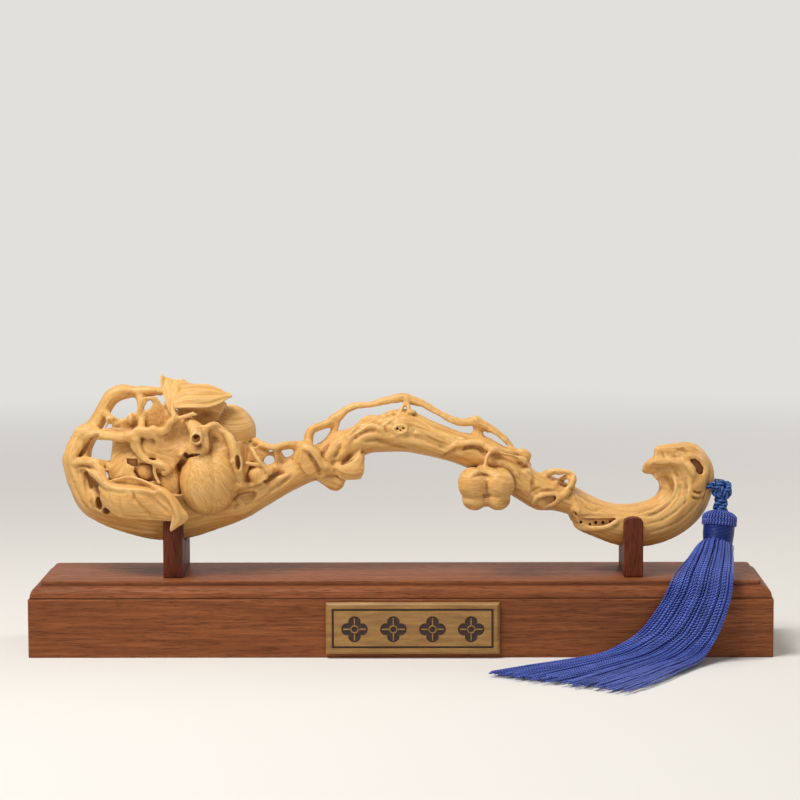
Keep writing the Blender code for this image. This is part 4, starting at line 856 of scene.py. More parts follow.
def carve_hull():
    """Openings beside the fruits, and the folds of the branch and the cup."""
    window([(92, 459.5), (93, 450), (100, 441), (112, 440.6), (111.5, 452), (110, 464), (104, 460.5)])
    window([(106, 471), (108.5, 471), (108.5, 479), (106.5, 478)], soft=0.6)
    ridge([(63.5, 462), (70, 449), (80, 433), (92, 424), (98, 414), (104, 402), (112, 393), (124, 389)],
          3, 0.5)
    groove([(100, 434), (90, 442), (84, 450), (77, 459)], 1.3, 1.1)
    groove([(95, 440), (87, 447), (79, 457)], 1, 0.7)
    ridge([(88, 436), (82, 444), (75, 454), (70, 463)], 1.2, 0.7)
    ridge([(72, 464), (84, 461), (95, 461), (104, 464), (108.5, 468)], 2, 1.3)
    ridge([(92, 470), (100, 478), (108, 484)], 1.6, 0.9)
    groove([(74, 467), (84, 466.5), (92, 468.5)], 0.9, 0.8)
    groove([(79, 470), (88, 474), (92, 482), (93, 492)], 1.8, 1.2)
    groove([(97, 488), (99, 495), (97, 500)], 1, 0.9)
    ridge([(93, 486), (95.5, 493), (94, 501)], 1.8, 0.6)
    groove([(86, 478), (87, 488), (90, 500), (97, 512)], 1.4, 0.7)
    clay.pit((98.3, 504.5), (1.5, 3), 3.6, turn=8, soft=0.7)
    clay.pit((106.3, 511.5), (1.7, 2), 3, turn=-20, soft=0.7)
    groove([(70, 472), (74, 484), (81, 500), (90, 511)], 1.3, 0.5)
    groove([(99, 520), (120, 526), (145, 531), (160, 533)], 1.5, 0.4)


def put_small_leaves():
    """The stem's two leaves, and the one behind the head."""
    put_sheet("stem_leaf", STEM_LEAF, 1.5, vein_relief(4, 0.3, 0.18, 0.4))
    put_sheet("stem_leaf_under", STEM_LEAF_UNDER, 1.6)
    put_sheet("leaf_back", leaf_back_lines(), 1.5, vein_relief(7, 0.3, 0.22))


def carve_neck():
    """The neck's twigs, loops and folds."""
    slab([(250, 447), (262, 447.5), (275, 448.5), (285, 447.5), (296, 446.5), (301, 453), (298, 462),
          (285, 467), (275, 473), (264, 470), (256, 464), (250, 458)], -6.2, 0.5, 1.8)
    add_route([(232, 492, -7, 3.4), (244, 491, -8.4, 3.6), (256, 488, -8, 3.6), (268, 484, -6, 3.4)], 4, 0)
    slab([(240, 446), (250, 446), (259, 452), (264, 462), (260, 470), (253, 475), (245, 476), (241, 458)],
         -3.5, 2.5, 1.6)
    window([(263.8, 459.5), (266.5, 456.2), (270.5, 455.2), (274, 457), (274.8, 461), (271.5, 464.2),
            (267, 464.8), (264.2, 462.5)], soft=0.7)
    window([(268, 451.2), (270.5, 449.8), (273.6, 450.2), (272.6, 451.6), (269.5, 452.2)], soft=0.4)
    window([(281, 450.9), (284.4, 449.8), (290, 448.9), (293.4, 449.8), (293.9, 453), (291.1, 455.8),
            (286.6, 457.6), (284.8, 457.6), (284.4, 456.2), (281.8, 452.6)], soft=0.5)
    clay.join(clay.ball(at(257.6, 475.5, -9.6), (4.3, 3.8, 4.1)), 0.5)
    add_route([(252.2, 449, -8.8, 0.8), (255.5, 455.5, -10.3, 0.85), (259.6, 461.6, -11, 0.95),
               (264.5, 467, -10.6, 1), (269, 470.5, -9.4, 1.4)], 1)
    add_route([(247, 463.4, -11, 0.9), (252, 464, -11.4, 0.9), (258.5, 465, -10.8, 0.9)], 1)
    ridge([(233, 486.5), (245, 486), (255, 484.5), (263, 480), (268, 474), (270, 468)], 1.3, 1.1)
    ridge([(270, 470), (278, 467.5), (286, 465), (294, 459)], 1.3, 0.8)
    groove([(244, 490), (256, 487.5), (266, 481), (274, 473.5)], 1, 0.7)
    sunk([(234, 499), (238.5, 494), (246, 492), (254, 491.5), (257, 494.5), (253, 500), (247, 505.5),
          (240, 509), (235, 508), (237.5, 503)], 1.3, 2)
    ridge([(231, 514), (240, 513), (249, 508), (256, 500.5), (263, 494), (272, 488)], 1.6, 0.6)
    ridge([(235, 499), (239, 501), (242.5, 505), (240, 509)], 0.9, 0.6)
    groove([(270, 478), (279, 474.5), (288, 473)], 1.4, 0.8)
    ridge([(272, 483), (280, 478), (290, 474.5)], 1.3, 0.6)
    groove([(268, 492), (277, 487), (286, 480), (293, 475)], 1.3, 0.8)
    for k in range(7):
        groove([(274.5 + 2.6 * k, 461 - 0.9 * k), (276.5 + 2.6 * k, 464.5 - 0.9 * k),
                (277 + 2.6 * k, 468 - 0.9 * k)], 0.5, 0.35, taper=1.5)


def carve_collar():
    """The collar where the twigs leave the stem."""
    ball_at(309, 459, -5.5, (5.6, 4.6, 7.6), 3)
    slab([(304, 446), (311, 449), (318, 456), (324, 464), (331, 470), (322, 478), (308, 474), (300, 462)],
         -10, -4, 3)
    slab([(314, 470), (330, 469), (343, 476), (341, 484), (335, 487.5), (326, 485), (319, 480)], -8.6, -3, 2)
    ball_at(335.5, 484.5, -5, (3.4, 2.8, 2.2), 2, False, 20)
    clay.join(clay.tube(through(spot_route([(330, 446, 0, 2), (333, 437, 0, 2.2), (337, 428, 0, 1.9),
                                            (341, 418, 0, 1.8)]), 6)), 3)
    slab([(330, 464), (345, 462), (360, 452), (362, 458), (350, 470), (336, 472)], -8.5, -3, 2)
    ridge([(303, 447), (310, 450), (316, 456), (320, 463), (326, 468), (331, 467.5)], 1.5, 1.3)
    groove([(304, 452), (309, 455), (314, 462), (318, 470), (320, 479)], 1.1, 0.9)
    groove([(329, 441), (325, 450), (322, 458)], 1.2, 0.9)
    groove([(343, 441), (338, 450), (334, 460)], 1.2, 0.9)
    ridge([(337, 437), (333, 446), (329, 456), (327, 464)], 1.3, 0.8)
    ridge([(348, 440), (345, 450), (341, 459)], 1.1, 0.8)
    groove([(352, 452), (347, 460), (341, 466)], 1, 0.8)


def carve_arch():
    """The arch's openings, its bark fold and its eye."""
    ridge([(346, 443), (351, 436.5), (359, 430), (367, 426), (378, 427), (386, 431)], 1.6, 1.2)
    ridge([(343, 434), (351, 431.5), (357.5, 426), (363, 419.5), (370, 417), (378, 418)], 1.6, 0.8)
    groove([(350, 436.5), (357, 430), (364, 424), (374, 422), (383, 424.5)], 1.2, 1.1)
    window([(337.5, 430.8), (340.6, 421), (348, 412.6), (357.8, 408.6), (371.4, 407.4), (383, 405),
            (394.8, 403.4), (398, 403.9), (396.4, 406.8), (391.5, 408.4), (387, 410.4), (381, 413.7),
            (377.3, 415), (373.4, 413.7), (365.6, 414.1), (361.7, 417), (358.7, 421.8), (353.9, 425.8),
            (348, 428.8), (342.2, 430.2)], soft=0.8)
    window([(413.6, 405.8), (422, 407), (431.9, 412.6), (441.6, 417.6), (449.4, 422.6), (457.2, 425.6),
            (465, 426.6), (472.4, 425.8), (473.6, 429.8), (470.9, 431.6), (461, 431.4), (451.4, 428.5),
            (441.6, 424.6), (431.9, 420.6), (424, 416.8), (415.6, 412), (413.8, 409.4)], soft=0.8)
    window([(487.6, 433.6), (488.8, 431.9), (496.2, 435.2), (503.6, 442), (509.6, 447.6), (504, 446.4),
            (494.3, 440.4), (488.4, 436)], soft=0.5)
    window([(314.8, 436), (318.8, 433.2), (325.4, 431.6), (326.4, 433), (322.7, 436), (317.2, 441.4),
            (313.6, 446), (312.8, 443)], soft=0.5)
    groove([(352, 441), (360, 434.5), (368, 431), (378, 432)], 1, 0.9)
    ball_at(400.2, 429.2, -8.4, (4.4, 2.2, 2.7), 1.4)
    sunk([(394.4, 428.6), (397, 426.4), (401.7, 425.6), (405.6, 427.2), (406.2, 429.8), (403.2, 432.2),
          (398.4, 432.8), (395.2, 431)], 0.9, 0.4)
    clay.pit((397.4, 428.8), (0.55, 0.6), 1.6, soft=0.3)
    clay.pit((400.4, 430.2), (0.5, 0.45), 1.4, soft=0.3)
    clay.pit((403.3, 428.4), (0.5, 0.55), 1.6, soft=0.3)
    for k in range(3):
        w = 2.4 + 2.3 * k
        groove([(403 + 0.5 * w, 423.6 - w * 0.5), (406.5 + w, 426 - w * 0.15), (407.2 + w, 430),
                (404.5 + w * 0.8, 434.4 + w * 0.4)], 0.65, 0.7)
        groove([(398 - 0.5 * w, 423.6 - w * 0.5), (394 - w, 426.4 - w * 0.15), (393 - w, 430),
                (396 - w * 0.8, 434.4 + w * 0.4)], 0.65, 0.6)
    add_route([(408, 400, -0.5, 1.3), (408.2, 406, -2.4, 1), (409.5, 413, -4.6, 0.9)], 1)
    for k, (u, v) in enumerate(((383.5, 416.5), (388, 413.5), (393, 411.5), (409.5, 411.5), (414, 412.5))):
        ridge([(u - 2.2, v + 1.6), (u, v), (u + 2.4, v + 0.8)], 1, 0.9, taper=1.5)
        groove([(u - 1.8, v + 4), (u + 0.5, v + 2.9), (u + 2.8, v + 3.4)], 0.6, 0.5, taper=1.5)
    ridge([(407, 416), (418, 424), (432, 434), (446, 441)], 2.6, 0.5)
    groove([(402, 436), (416, 438), (432, 443), (446, 449)], 2, 0.8)
    ridge([(396, 441), (412, 443.5), (428, 449), (440, 454)], 2, 0.5)
    groove([(362, 441), (378, 441), (392, 446), (410, 450)], 2, 0.8)
    groove([(418, 431), (431, 438.5), (442, 443)], 1, 0.5)
    ridge([(440, 454), (449, 449.5), (456, 445), (463, 441), (459, 436)], 1.3, 0.9)
    groove([(442, 457), (452, 452), (460, 446)], 1, 0.8)


def carve_small_calyx():
    """The calyx on the hanging fruit."""
    clay.join(clay.ball((38, -14.5, BASE_TOP + 47.6), (5.2, 5, 1.6)), 1.2)
    ridge([(470, 477), (473.5, 473.3), (479, 471.6), (485, 471.8), (490, 473.6), (493.5, 475.5)], 0.9, 0.9)
    groove([(472.5, 478.2), (476.5, 475.8), (481.5, 474.6), (486.5, 475.4), (490, 477)], 0.5, 0.5)
    ridge([(476, 470), (479.5, 467.4), (483, 466.6)], 0.8, 0.5)
    ridge([(492, 471), (497, 472), (500, 475)], 0.7, 0.5)
    groove([(486.2, 479), (486.8, 486), (487.2, 494)], 0.6, 0.6)


def carve_shoulder():
    """Twigs and folds where the arch comes down."""
    ridge([(458, 448), (463, 444), (472, 442), (481, 443), (486, 446)], 1.2, 0.9)
    groove([(459, 452), (466, 448), (474, 447), (481, 450), (484, 456)], 1, 0.8)
    ridge([(487, 448), (498, 450), (508, 452), (519, 452)], 1.3, 1)
    ridge([(521, 452), (526, 452.5), (528.5, 457)], 2.2, 1.4)
    groove([(492, 453), (503, 456), (514, 458), (521, 462)], 1, 0.9)
    ridge([(494, 461), (506, 464), (514, 470), (519, 478)], 1.4, 0.8)
    ridge([(522, 458), (526, 464), (529, 474), (531, 484)], 1.2, 0.8)
    ridge([(525.2, 470.6), (526.6, 471.8), (527.4, 473.2)], 1.8, 1.3, taper=1.2)
    add_route([(511, 451, -2.6, 1.6), (518, 452.2, -3.4, 1.5), (524.5, 454.2, -4.2, 2.4),
               (528.6, 458, -4.6, 1.5)], 1.5)
    window([(530.6, 458), (531.4, 467.6), (535, 471), (541, 473), (548, 471.6), (556, 469.4), (566, 469),
            (573.4, 470.6), (577, 474.6), (582, 470), (575, 458), (550, 450)], soft=0.8)
    groove([(534, 478), (533, 488), (538, 497)], 1.2, 0.7)
    clay.cut(clay.tube(through(np.array([(*at(537.5, 503.6, -10), 1.6), (*at(546, 501, -9.2), 2.5),
                                         (*at(554.5, 498, -9), 1.7)]), 6)), 0.5)
    for k in range(5):
        ridge([(540.5 + 3 * k, 500.2 - 0.9 * k), (541.2 + 3 * k, 505 - 0.9 * k)], 0.5, 0.5, taper=1)
    clay.stroke([(533, 505), (536, 498.5), (546, 494.5), (556, 494), (559, 499), (551, 505), (540, 508.5),
                 (533, 506)], 0.8, 0.7)
    groove([(531, 503), (534, 495), (545, 490.5), (556, 490)], 0.7, 0.45)
    groove([(528, 500), (532, 491.5), (543, 487)], 0.7, 0.4)
    ridge([(545, 473), (551, 471), (560, 469)], 1.2, 0.9)
    ridge([(553, 486), (560, 480), (567, 477), (572, 480)], 1.2, 1)
    clay.pit((567, 479.6), (1.1, 0.8), 1.8)
    ridge([(574, 483), (571, 489), (566, 494), (560, 497)], 1.2, 0.9)
    groove([(558, 484), (563, 485), (568, 486)], 1, 0.9)


def carve_tail_root():
    """The hollow with holes at the tail's root."""
    sunk([(577.5, 519.2), (584, 518.4), (600, 518.6), (617, 518.4), (612, 523.5), (603, 526), (591, 526.4),
          (581, 525)], 2.2, 0.5)
    ridge([(573, 520), (576, 525.5), (584, 528.6), (596, 529.2), (607, 527.4), (615, 523), (621, 518.5)],
          0.9, 0.8)
    clay.stroke([(573, 521), (571, 515), (573.5, 509), (578, 511), (578.5, 516)], 1.2, 1)
    groove([(578, 517.4), (590, 516.4), (604, 516.8), (619, 517)], 0.8, 0.5)
    clay.pit((575.3, 514), (0.7, 1), 1.4, soft=0.4)
    for u, v, r in ((580.8, 522.3, 0.75), (590, 524.2, 0.6), (595.8, 522.6, 0.75), (603, 522.6, 0.7),
                    (610.8, 522.2, 0.75)):
        clay.pit((u, v), (r, r), 2.6, soft=0.25)
    groove([(588, 532), (600, 538), (612, 543)], 1.2, 0.5)


def carve_trunk():
    """Folds along the tail."""
    groove([(580, 497), (595, 503), (612, 510), (630, 513), (648, 510), (661, 501), (669, 489), (672, 476)],
           1.1, 0.45)
    groove([(586, 508), (594, 511), (602, 509), (610, 512)], 0.7, 0.3)
    ridge([(643, 513.5), (655, 510), (665, 502.5), (672, 493.5), (676.5, 484)], 1.1, 0.5)
    groove([(646, 517), (658, 512.5), (668, 505), (676, 495), (680, 486)], 0.6, 0.5)
    groove([(646, 525), (664, 519), (680, 508), (690, 496)], 0.6, 0.3)
    groove([(652, 532), (672, 525), (690, 512), (702, 497)], 0.6, 0.25)
    groove([(677, 500), (681, 491), (679, 484)], 0.7, 0.5)
    groove([(684, 503), (687, 494), (684, 487)], 0.6, 0.35)


def carve_curl():
    """The tail's curl: a blunt brow over a beak, a hollowed cheek and a drop-shaped recess."""
    slab([(655.4, 447.6), (661, 446.2), (668, 445.6), (678, 446), (680, 458), (668, 463), (654, 463),
          (651, 459.5), (654.4, 455.5)], -6, 5, 3)
    slab([(658.5, 449.5), (668, 448), (680, 448), (680, 458), (668, 461), (657.5, 461), (656.5, 455)],
         -8, 7.5, 3.5)
    slab([(653.6, 476.4), (658.5, 481.5), (660.4, 486), (668, 488), (668, 474), (655, 472)], -6, 6, 2)
    window([(650, 434), (700, 434), (692, 440.4), (686, 440.8), (680, 442.2), (667, 444.2), (655, 446.2),
            (650, 446)], soft=0.8)
    window([(618, 501.8), (632, 502), (643, 501), (650, 498.6), (655, 495.6), (659, 489.5), (650, 486),
            (630, 488), (618, 495)], soft=0.8)
    window([(632, 438), (654, 444), (654.6, 448), (653.8, 455.5), (650.2, 459.3), (645.2, 463.2),
            (641.7, 467.8), (640.6, 470.5), (632, 470)], soft=0.8)
    clay.stroke([(649, 469.5), (658, 469), (669, 470), (679, 474), (686, 482), (685, 492)],
                3.4, -1.3, 1.6, 3)
    clay.stroke([(662, 476), (668, 484), (667.5, 493), (661, 499)], 3, -1.1, 1.6, 3)
    ridge([(645, 466), (651, 462.5), (659, 461.5), (668, 461), (677, 461.5), (685, 463.5), (691, 468.5),
           (695.5, 474.5)], 1.2, 0.7)
    ridge([(642.5, 470), (645.5, 465), (650, 461)], 1.2, 0.6)
    ridge([(685, 459.5), (689, 456.2), (695, 455.8), (701.5, 460), (706, 469), (704.8, 478)], 1.3, 0.9)
    sunk([(689.3, 462.3), (690.8, 459.6), (695, 459), (699.5, 462.3), (703.2, 468), (702.6, 473.5),
          (699, 477.5), (696.2, 475), (695.8, 470), (693, 465.6)], 4.2, 0.7)
    ridge([(685.5, 461), (689.5, 466), (693.2, 472), (695.4, 478.5)], 1.7, 1.3)
    for k in range(3):
        groove([(678 - 2.5 * k, 459 - k), (680.5 - 2 * k, 454.6 - 1.6 * k), (686, 452.6 - 2.2 * k),
                (693, 452.6 - 2.2 * k), (699, 455.6 - 2 * k)], 0.5, 0.35)
    ridge([(698.5, 477.5), (700.5, 482), (698.5, 488)], 2.6, 1.2)
    groove([(691.5, 488.5), (694, 492), (697.5, 493.6), (701.5, 492.6), (705, 488.5)], 0.9, 1.3)
    groove([(690, 493.5), (693.5, 497), (697, 498.4), (701, 497.4), (705, 493)], 0.8, 1.1)
    ridge([(690.8, 491.2), (694, 494.8), (697.5, 496), (701.5, 495), (705, 491)], 0.8, 0.5)
    for k in range(6):
        groove([(672 + 2.6 * k, 468 + 2.2 * k), (676 + 2.2 * k, 476 + 2.6 * k),
                (677.5 + 1.6 * k, 485 + 2.4 * k)], 0.45, 0.3)
    groove([(697.5, 468), (695, 480), (693.5, 487)], 0.7, 0.4)
    groove([(662, 449), (663, 455), (667, 459)], 0.8, 0.4)
    groove([(672, 448), (682, 450), (694, 452), (704, 459)], 0.9, 0.35)
    groove([(668, 454), (676, 456.5), (681, 456)], 0.9, 0.4)
    ridge([(703, 449), (710.5, 459), (713.8, 469), (714.2, 478)], 1.3, 0.6)
    groove([(709.4, 467), (709.8, 477), (707.5, 490), (703, 503)], 0.9, 1)


def shape_clay():
    put_loft("head_cup", CUP)
    put_loft("head_branch", BRANCH)
    put_loft("stem", STEM)
    put_loft("tail_scroll", TAIL)
    put_fruit("persimmon_left", (0.5, -0.3, 0.8), None, 0.6, 0.03)
    put_fruit("persimmon_rear", (0.2, -0.4, 0.9), (1.0, 0.1, -0.12), 0.2, 0.03)
    put_fruit("persimmon_front", (-0.45, -0.35, 0.8), None, 1.25, 0.10)
    put_small_fruit()
    for name, (soft, route) in TWIGS.items():
        put_twig(name, route, soft)
    carve_web()
    carve_left_fruit()
    carve_front_fruit()
    carve_front_calyx()
    carve_junction()
    carve_calyx_lobe()
    carve_top_leaf()
    carve_front_leaf()
    carve_hull()
    put_small_leaves()
    carve_neck()
    carve_collar()
    carve_arch()
    carve_small_calyx()
    carve_shoulder()
    carve_tail_root()
    carve_trunk()
    carve_curl()


def blur(grid, radius):
    """The grid averaged over about radius mm."""
    w = max(1, int(round(radius / STEP / 1.4)))
    for axis in (0, 0, 1, 1, 2, 2):
        grid = np.moveaxis(grid, axis, 0)
        total = np.cumsum(np.pad(grid, ((w + 1, w), (0, 0), (0, 0)), mode="edge"), axis=0, dtype=np.float32)
        grid = np.moveaxis((total[2 * w + 1:] - total[:-2 * w - 1]) / (2 * w + 1), 0, axis)
    return grid


def new_mesh(name, points, faces, facing=None, **fields):
    """A mesh in metres from points in mm and faces of equally many corners."""
    mesh = bpy.data.meshes.new(name)
    faces = np.asarray(faces)
    count, corners = faces.shape
    mesh.vertices.add(len(points))
    mesh.vertices.foreach_set("co", (np.asarray(points) * MM).astype(np.float32).ravel())
    mesh.loops.add(count * corners)
    mesh.loops.foreach_set("vertex_index", faces.astype(np.int32).ravel())
    mesh.polygons.add(count)
    mesh.polygons.foreach_set("loop_start", np.arange(0, count * corners, corners, dtype=np.int32))
    mesh.polygons.foreach_set("use_smooth", np.ones(count, bool))
    mesh.update(calc_edges=True)
    mesh.validate()
    for key, values in fields.items():
        values = np.asarray(values, np.float32)
        kind, into = ("FLOAT_VECTOR", "vector") if values.ndim == 2 else ("FLOAT", "value")
        mesh.attributes.new(key, kind, "POINT").data.foreach_set(into, values.ravel())
    if facing is not None:
        mesh.normals_split_custom_set_from_vertices(facing.astype(np.float32).tolist())
    return mesh


def new_piece(mesh, look, body, slot, *nodes):
    """An object on a body, shown in place of the nodes named. Its slot is not used."""
    made = bpy.data.objects.new(mesh.name, mesh)
    bpy.context.scene.collection.objects.link(made)
    mesh.materials.append(look)
    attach(made, body)
    if nodes:
        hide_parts(*nodes)
    return made


def point_normals(points, faces):
    """The way out of a mesh at each of its points."""
    corner = points[faces]
    if faces.shape[1] == 4:
        flat = np.cross(corner[:, 2] - corner[:, 0], corner[:, 3] - corner[:, 1])
    else:
        flat = np.cross(corner[:, 1] - corner[:, 0], corner[:, 2] - corner[:, 0])
    n = np.zeros_like(points)
    for column in faces.T:
        for axis in range(3):
            n[:, axis] += np.bincount(column, flat[:, axis], len(points))
    return n / np.maximum(np.linalg.norm(n, axis=1, keepdims=True), 1e-12)


def grain_of(points):
    """Each point's place along, across and off the nearest flow, that flow's number, and how stout
    and how finely combed the wood is there."""
    who = np.concatenate([np.full(len(flow["samples"]), k) for k, flow in enumerate(flows)])
    station = np.concatenate([flow["station"] for flow in flows])
    near = nearest(np.concatenate([flow["samples"] for flow in flows]), points)
    who, station = who[near], station[near]
    grain, size, comb = np.zeros((len(points), 3)), np.zeros(len(points)), np.zeros(len(points))
    for k, flow in enumerate(flows):
        mine = who == k
        size[mine] = flow["size"][station[mine]]
        comb[mine] = flow["comb"]
        if "axes" in flow:
            centre, axes, run = (part[station[mine]] for part in flow["axes"])
            grain[mine] = np.einsum("ikj,ij->ik", axes, points[mine] - centre)
            grain[mine, 0] += run
        elif mine.any():
            grain[mine] = flow["grain_at"](points[mine])
    return grain, who, size, comb


def carve_pieces(look):
    """Skins the clay and divides it into the carving's pieces."""
    grid = openvdb.FloatGrid(3.0)
    grid.copyFromArray(np.clip(clay.f, -3, 3), ijk=tuple(int(i) for i in clay.first), tolerance=0.0)
    grid.transform = openvdb.createLinearTransform(voxelSize=STEP)
    points, _, faces = grid.convertToPolygons(isovalue=0.0, adaptivity=0.0)
    points, faces = points.astype(float), faces.astype(np.int64)
    n = point_normals(points, faces)
    some, out = points[:2000], 0.5 * n[:2000]
    if (clay.sample(some + out) - clay.sample(some - out)).mean() < 0:
        faces, n = faces[:, ::-1], -n
    # Grooves along the grain, broad on stout wood and fine on combed wood
    grain, who, size, comb = grain_of(points)
    stout = np.clip((size - 2.0) / 4.0, 0, 1) * (1 - 0.7 * comb)
    turn = np.where(comb > 0, 0.0, grain[:, 0] * 0.022)
    c, s = np.cos(turn), np.sin(turn)
    across = np.stack([grain[:, 1] * c - grain[:, 2] * s, grain[:, 1] * s + grain[:, 2] * c], 1)
    flute = rough(np.column_stack([grain[:, 0] * 0.04, across * 0.26]) + 3.0, 3)
    knurl = rough(points * 0.55, 2)
    strand = np.clip(noise(grain * [0.035, 0.95, 0.95] + 9) - 0.05, 0, 1)
    rise = (0.10 * stout + 0.05) * flute + (0.10 - 0.08 * comb - 0.04 * stout) * knurl - 0.08 * comb * strand
    points = points + n * rise[:, None]
    n = point_normals(points, faces)
    # How hollow the place is, over a short and a long reach; the boxwood's colour takes painted shade from
    # these
    full = np.clip(0.5 - clay.f / (2 * STEP), 0, 1)
    hollow, deep = ((clay.sample(points, blur(full, reach)) - 0.5) * 2 for reach in (1.0, 3.6))
    names = list(dict.fromkeys(flow["name"] for flow in flows))
    belongs = np.array([names.index(flow["name"]) for flow in flows])
    owner = np.max(belongs[who][faces], axis=1)
    made = {}
    for k, name in enumerate(names):
        mine = faces[owner == k]
        if len(mine):
            used, local = np.unique(mine, return_inverse=True)
            mesh = new_mesh(name + "_carved", points[used], local.reshape(mine.shape), n[used],
                            grain=grain[used], hollow=hollow[used], deep=deep[used], comb=comb[used])
            made[name] = new_piece(mesh, look, "scepter", "boxwood")
    return made


class Looks:
    """The node tree of a new material or world, built up node by node."""

    def __init__(self, owner):
        self.owner = owner
        owner.use_nodes = True
        self.tree = owner.node_tree
        self.shader = self.tree.nodes.get("Principled BSDF")

    def feed(self, socket, value):
        """Gives a socket a number or a colour, or links another socket into it."""
        if isinstance(value, tuple) and len(value) < len(socket.default_value):
            value = (*value, 1)
        if isinstance(value, (int, float, tuple)):
            socket.default_value = value
        else:
            self.tree.links.new(value, socket)

    def node(self, kind, sockets=None, **settings):
        made = self.tree.nodes.new("ShaderNode" + kind)
        for key, value in settings.items():
            setattr(made, key, value)
        for key, value in (sockets or {}).items():
            self.feed(made.inputs[key], value)
        return made

    def field(self, name, kind="Fac"):
        return self.node("Attribute", attribute_name=name).outputs[kind]

    def place(self):
        return self.node("TexCoord").outputs["Object"]

    def noise(self, vector, stretch, detail, rough=0.5, lace=0.0, scale=1.0):
        drawn = self.node("Mapping", {"Vector": vector, "Scale": stretch}).outputs["Vector"]
        return self.node("TexNoise", {"Vector": drawn, "Scale": scale, "Detail": detail, "Roughness": rough,
                                      "Distortion": lace}).outputs["Fac"]

    def ramp(self, fac, *stops):
        made = self.node("ValToRGB", {"Fac": fac})
        for _ in stops[2:]:
            made.color_ramp.elements.new(0.5)
        for element, (place, colour) in zip(made.color_ramp.elements, stops):
            element.position, element.color = place, (*colour, 1)
        return made.outputs["Color"]

    def fit(self, value, low, high, to_low=0.0, to_high=1.0):
        return self.node("MapRange", {"Value": value, "From Min": low, "From Max": high, "To Min": to_low,
                                      "To Max": to_high}).outputs["Result"]

    def math(self, kind, a, b):
        return self.node("Math", {0: a, 1: b}, operation=kind).outputs[0]

    def blend(self, a, share_a, b, share_b):
        return self.math("ADD", self.math("MULTIPLY", a, share_a), self.math("MULTIPLY", b, share_b))

    def mix(self, fac, a, b):
        return self.node("Mix", {0: fac, 6: a, 7: b}, data_type="RGBA").outputs[2]

    def bump(self, height, depth, strength):
        return self.node("Bump", {"Strength": strength, "Distance": depth,
                                  "Height": height}).outputs["Normal"]

    def set(self, **values):
        for key, value in values.items():
            self.feed(self.shader.inputs[key.replace("_", " ")], value)
        return self.owner

    def seen_straight(self):
        """1 for what the camera sees, straight or by way of a shiny or clear surface."""
        path = self.node("LightPath").outputs
        either = self.math("MAXIMUM", path["Is Camera Ray"], path["Is Glossy Ray"])
        return self.math("MAXIMUM", either, path["Is Transmission Ray"])


def shade(r, g, b):
    """A colour as it shows on a screen, from 0 to 255, as a linear one."""
    return tuple(((c / 255 + 0.055) / 1.055) ** 2.4 if c > 10 else c / 255 / 12.92 for c in (r, g, b))


def boxwood_look():
    m = Looks(bpy.data.materials.new("boxwood_carved"))
    grain = m.field("grain", "Vector")
    hollow, deep, comb = m.field("hollow"), m.field("deep"), m.field("comb")
    fibre = m.noise(grain, (0.045, 0.75, 0.75), 5, 0.62, 0.3)
    hatch = m.fit(m.noise(grain, (0.045, 2.0, 2.0), 2), 0.52, 0.64)
    fine = m.noise(grain, (0.22, 3.2, 3.2), 3, 0.6)
    line = m.noise(grain, (0.07, 1.7, 1.7), 4, 0.7)
    combed = m.math("MULTIPLY", hatch, m.math("ADD", m.math("MULTIPLY", comb, 0.21), 0.08))
    wood = m.ramp(fibre, (0.30, shade(196, 140, 74)), (0.47, shade(219, 170, 100)),
                  (0.60, shade(230, 186, 116)), (0.78, shade(240, 203, 138)))
    wood = m.mix(m.fit(m.noise(m.place(), (42, 42, 42), 3), 0.35, 0.7, 0.0, 0.35), wood, shade(214, 150, 78))
    wood = m.mix(m.fit(line, 0.56, 0.66, 0.0, 0.35), wood, shade(160, 104, 48))
    wood = m.mix(combed, wood, shade(158, 100, 44))
    wood = m.mix(m.fit(hollow, -0.12, -0.45, 0.0, 0.35), wood, shade(246, 216, 158))  # lighter on convex edges and ridges
    wood = m.mix(m.fit(hollow, 0.04, 0.44, 0.0, 0.86), wood, shade(104, 52, 15))  # painted shade in creases
    wood = m.mix(m.fit(deep, 0.08, 0.65, 0.0, 0.78), wood, shade(120, 62, 19))  # painted shade in sunken places
    height = m.math("SUBTRACT", m.blend(fibre, 0.7, fine, 0.3), m.math("MULTIPLY", combed, 0.6))
    return m.set(Base_Color=wood, Roughness=m.fit(fine, 0.3, 0.7, 0.40, 0.54),
                 Normal=m.bump(height, 0.00035, 0.7), Specular_IOR_Level=0.28, Coat_Weight=0.05,
                 Coat_Roughness=0.3)


def board_look(name, light, mid, dark, stretches, pores):
    """Solid wood. The stretches are those of its fibre, its broad bands and its pores."""
    m = Looks(bpy.data.materials.new(name))
    place = m.place()
    fibre = m.noise(place, stretches[0], 6, 0.65, 0.4)
    band = m.noise(place, stretches[1], 3, 0.55, 0.8)
    pore = m.noise(place, stretches[2], 2)
    streak = m.fit(pore, 0.54, 0.66)
    wood = m.ramp(fibre, (0.28, dark), (0.5, mid), (0.72, light))
    wood = m.mix(m.fit(band, 0.35, 0.65, 0.0, 0.45), wood, mid)
    wood = m.mix(m.math("MULTIPLY", streak, pores), wood, tuple(c * 0.35 for c in dark))
    # Painted shade in the groove under the ovolo and in the crease where the ovolo meets the top board, where
    # the recess field is set
    wood = m.mix(m.fit(m.field("recess"), 0.0, 1.0, 0.0, 0.75), wood, tuple(c * 0.4 for c in dark))
    height = m.blend(fibre, 0.35, streak, -0.65)
    return m.set(Base_Color=wood, Roughness=m.fit(pore, 0.3, 0.7, 0.44, 0.6),
                 Normal=m.bump(height, 0.00014, 0.8), Specular_IOR_Level=0.16)


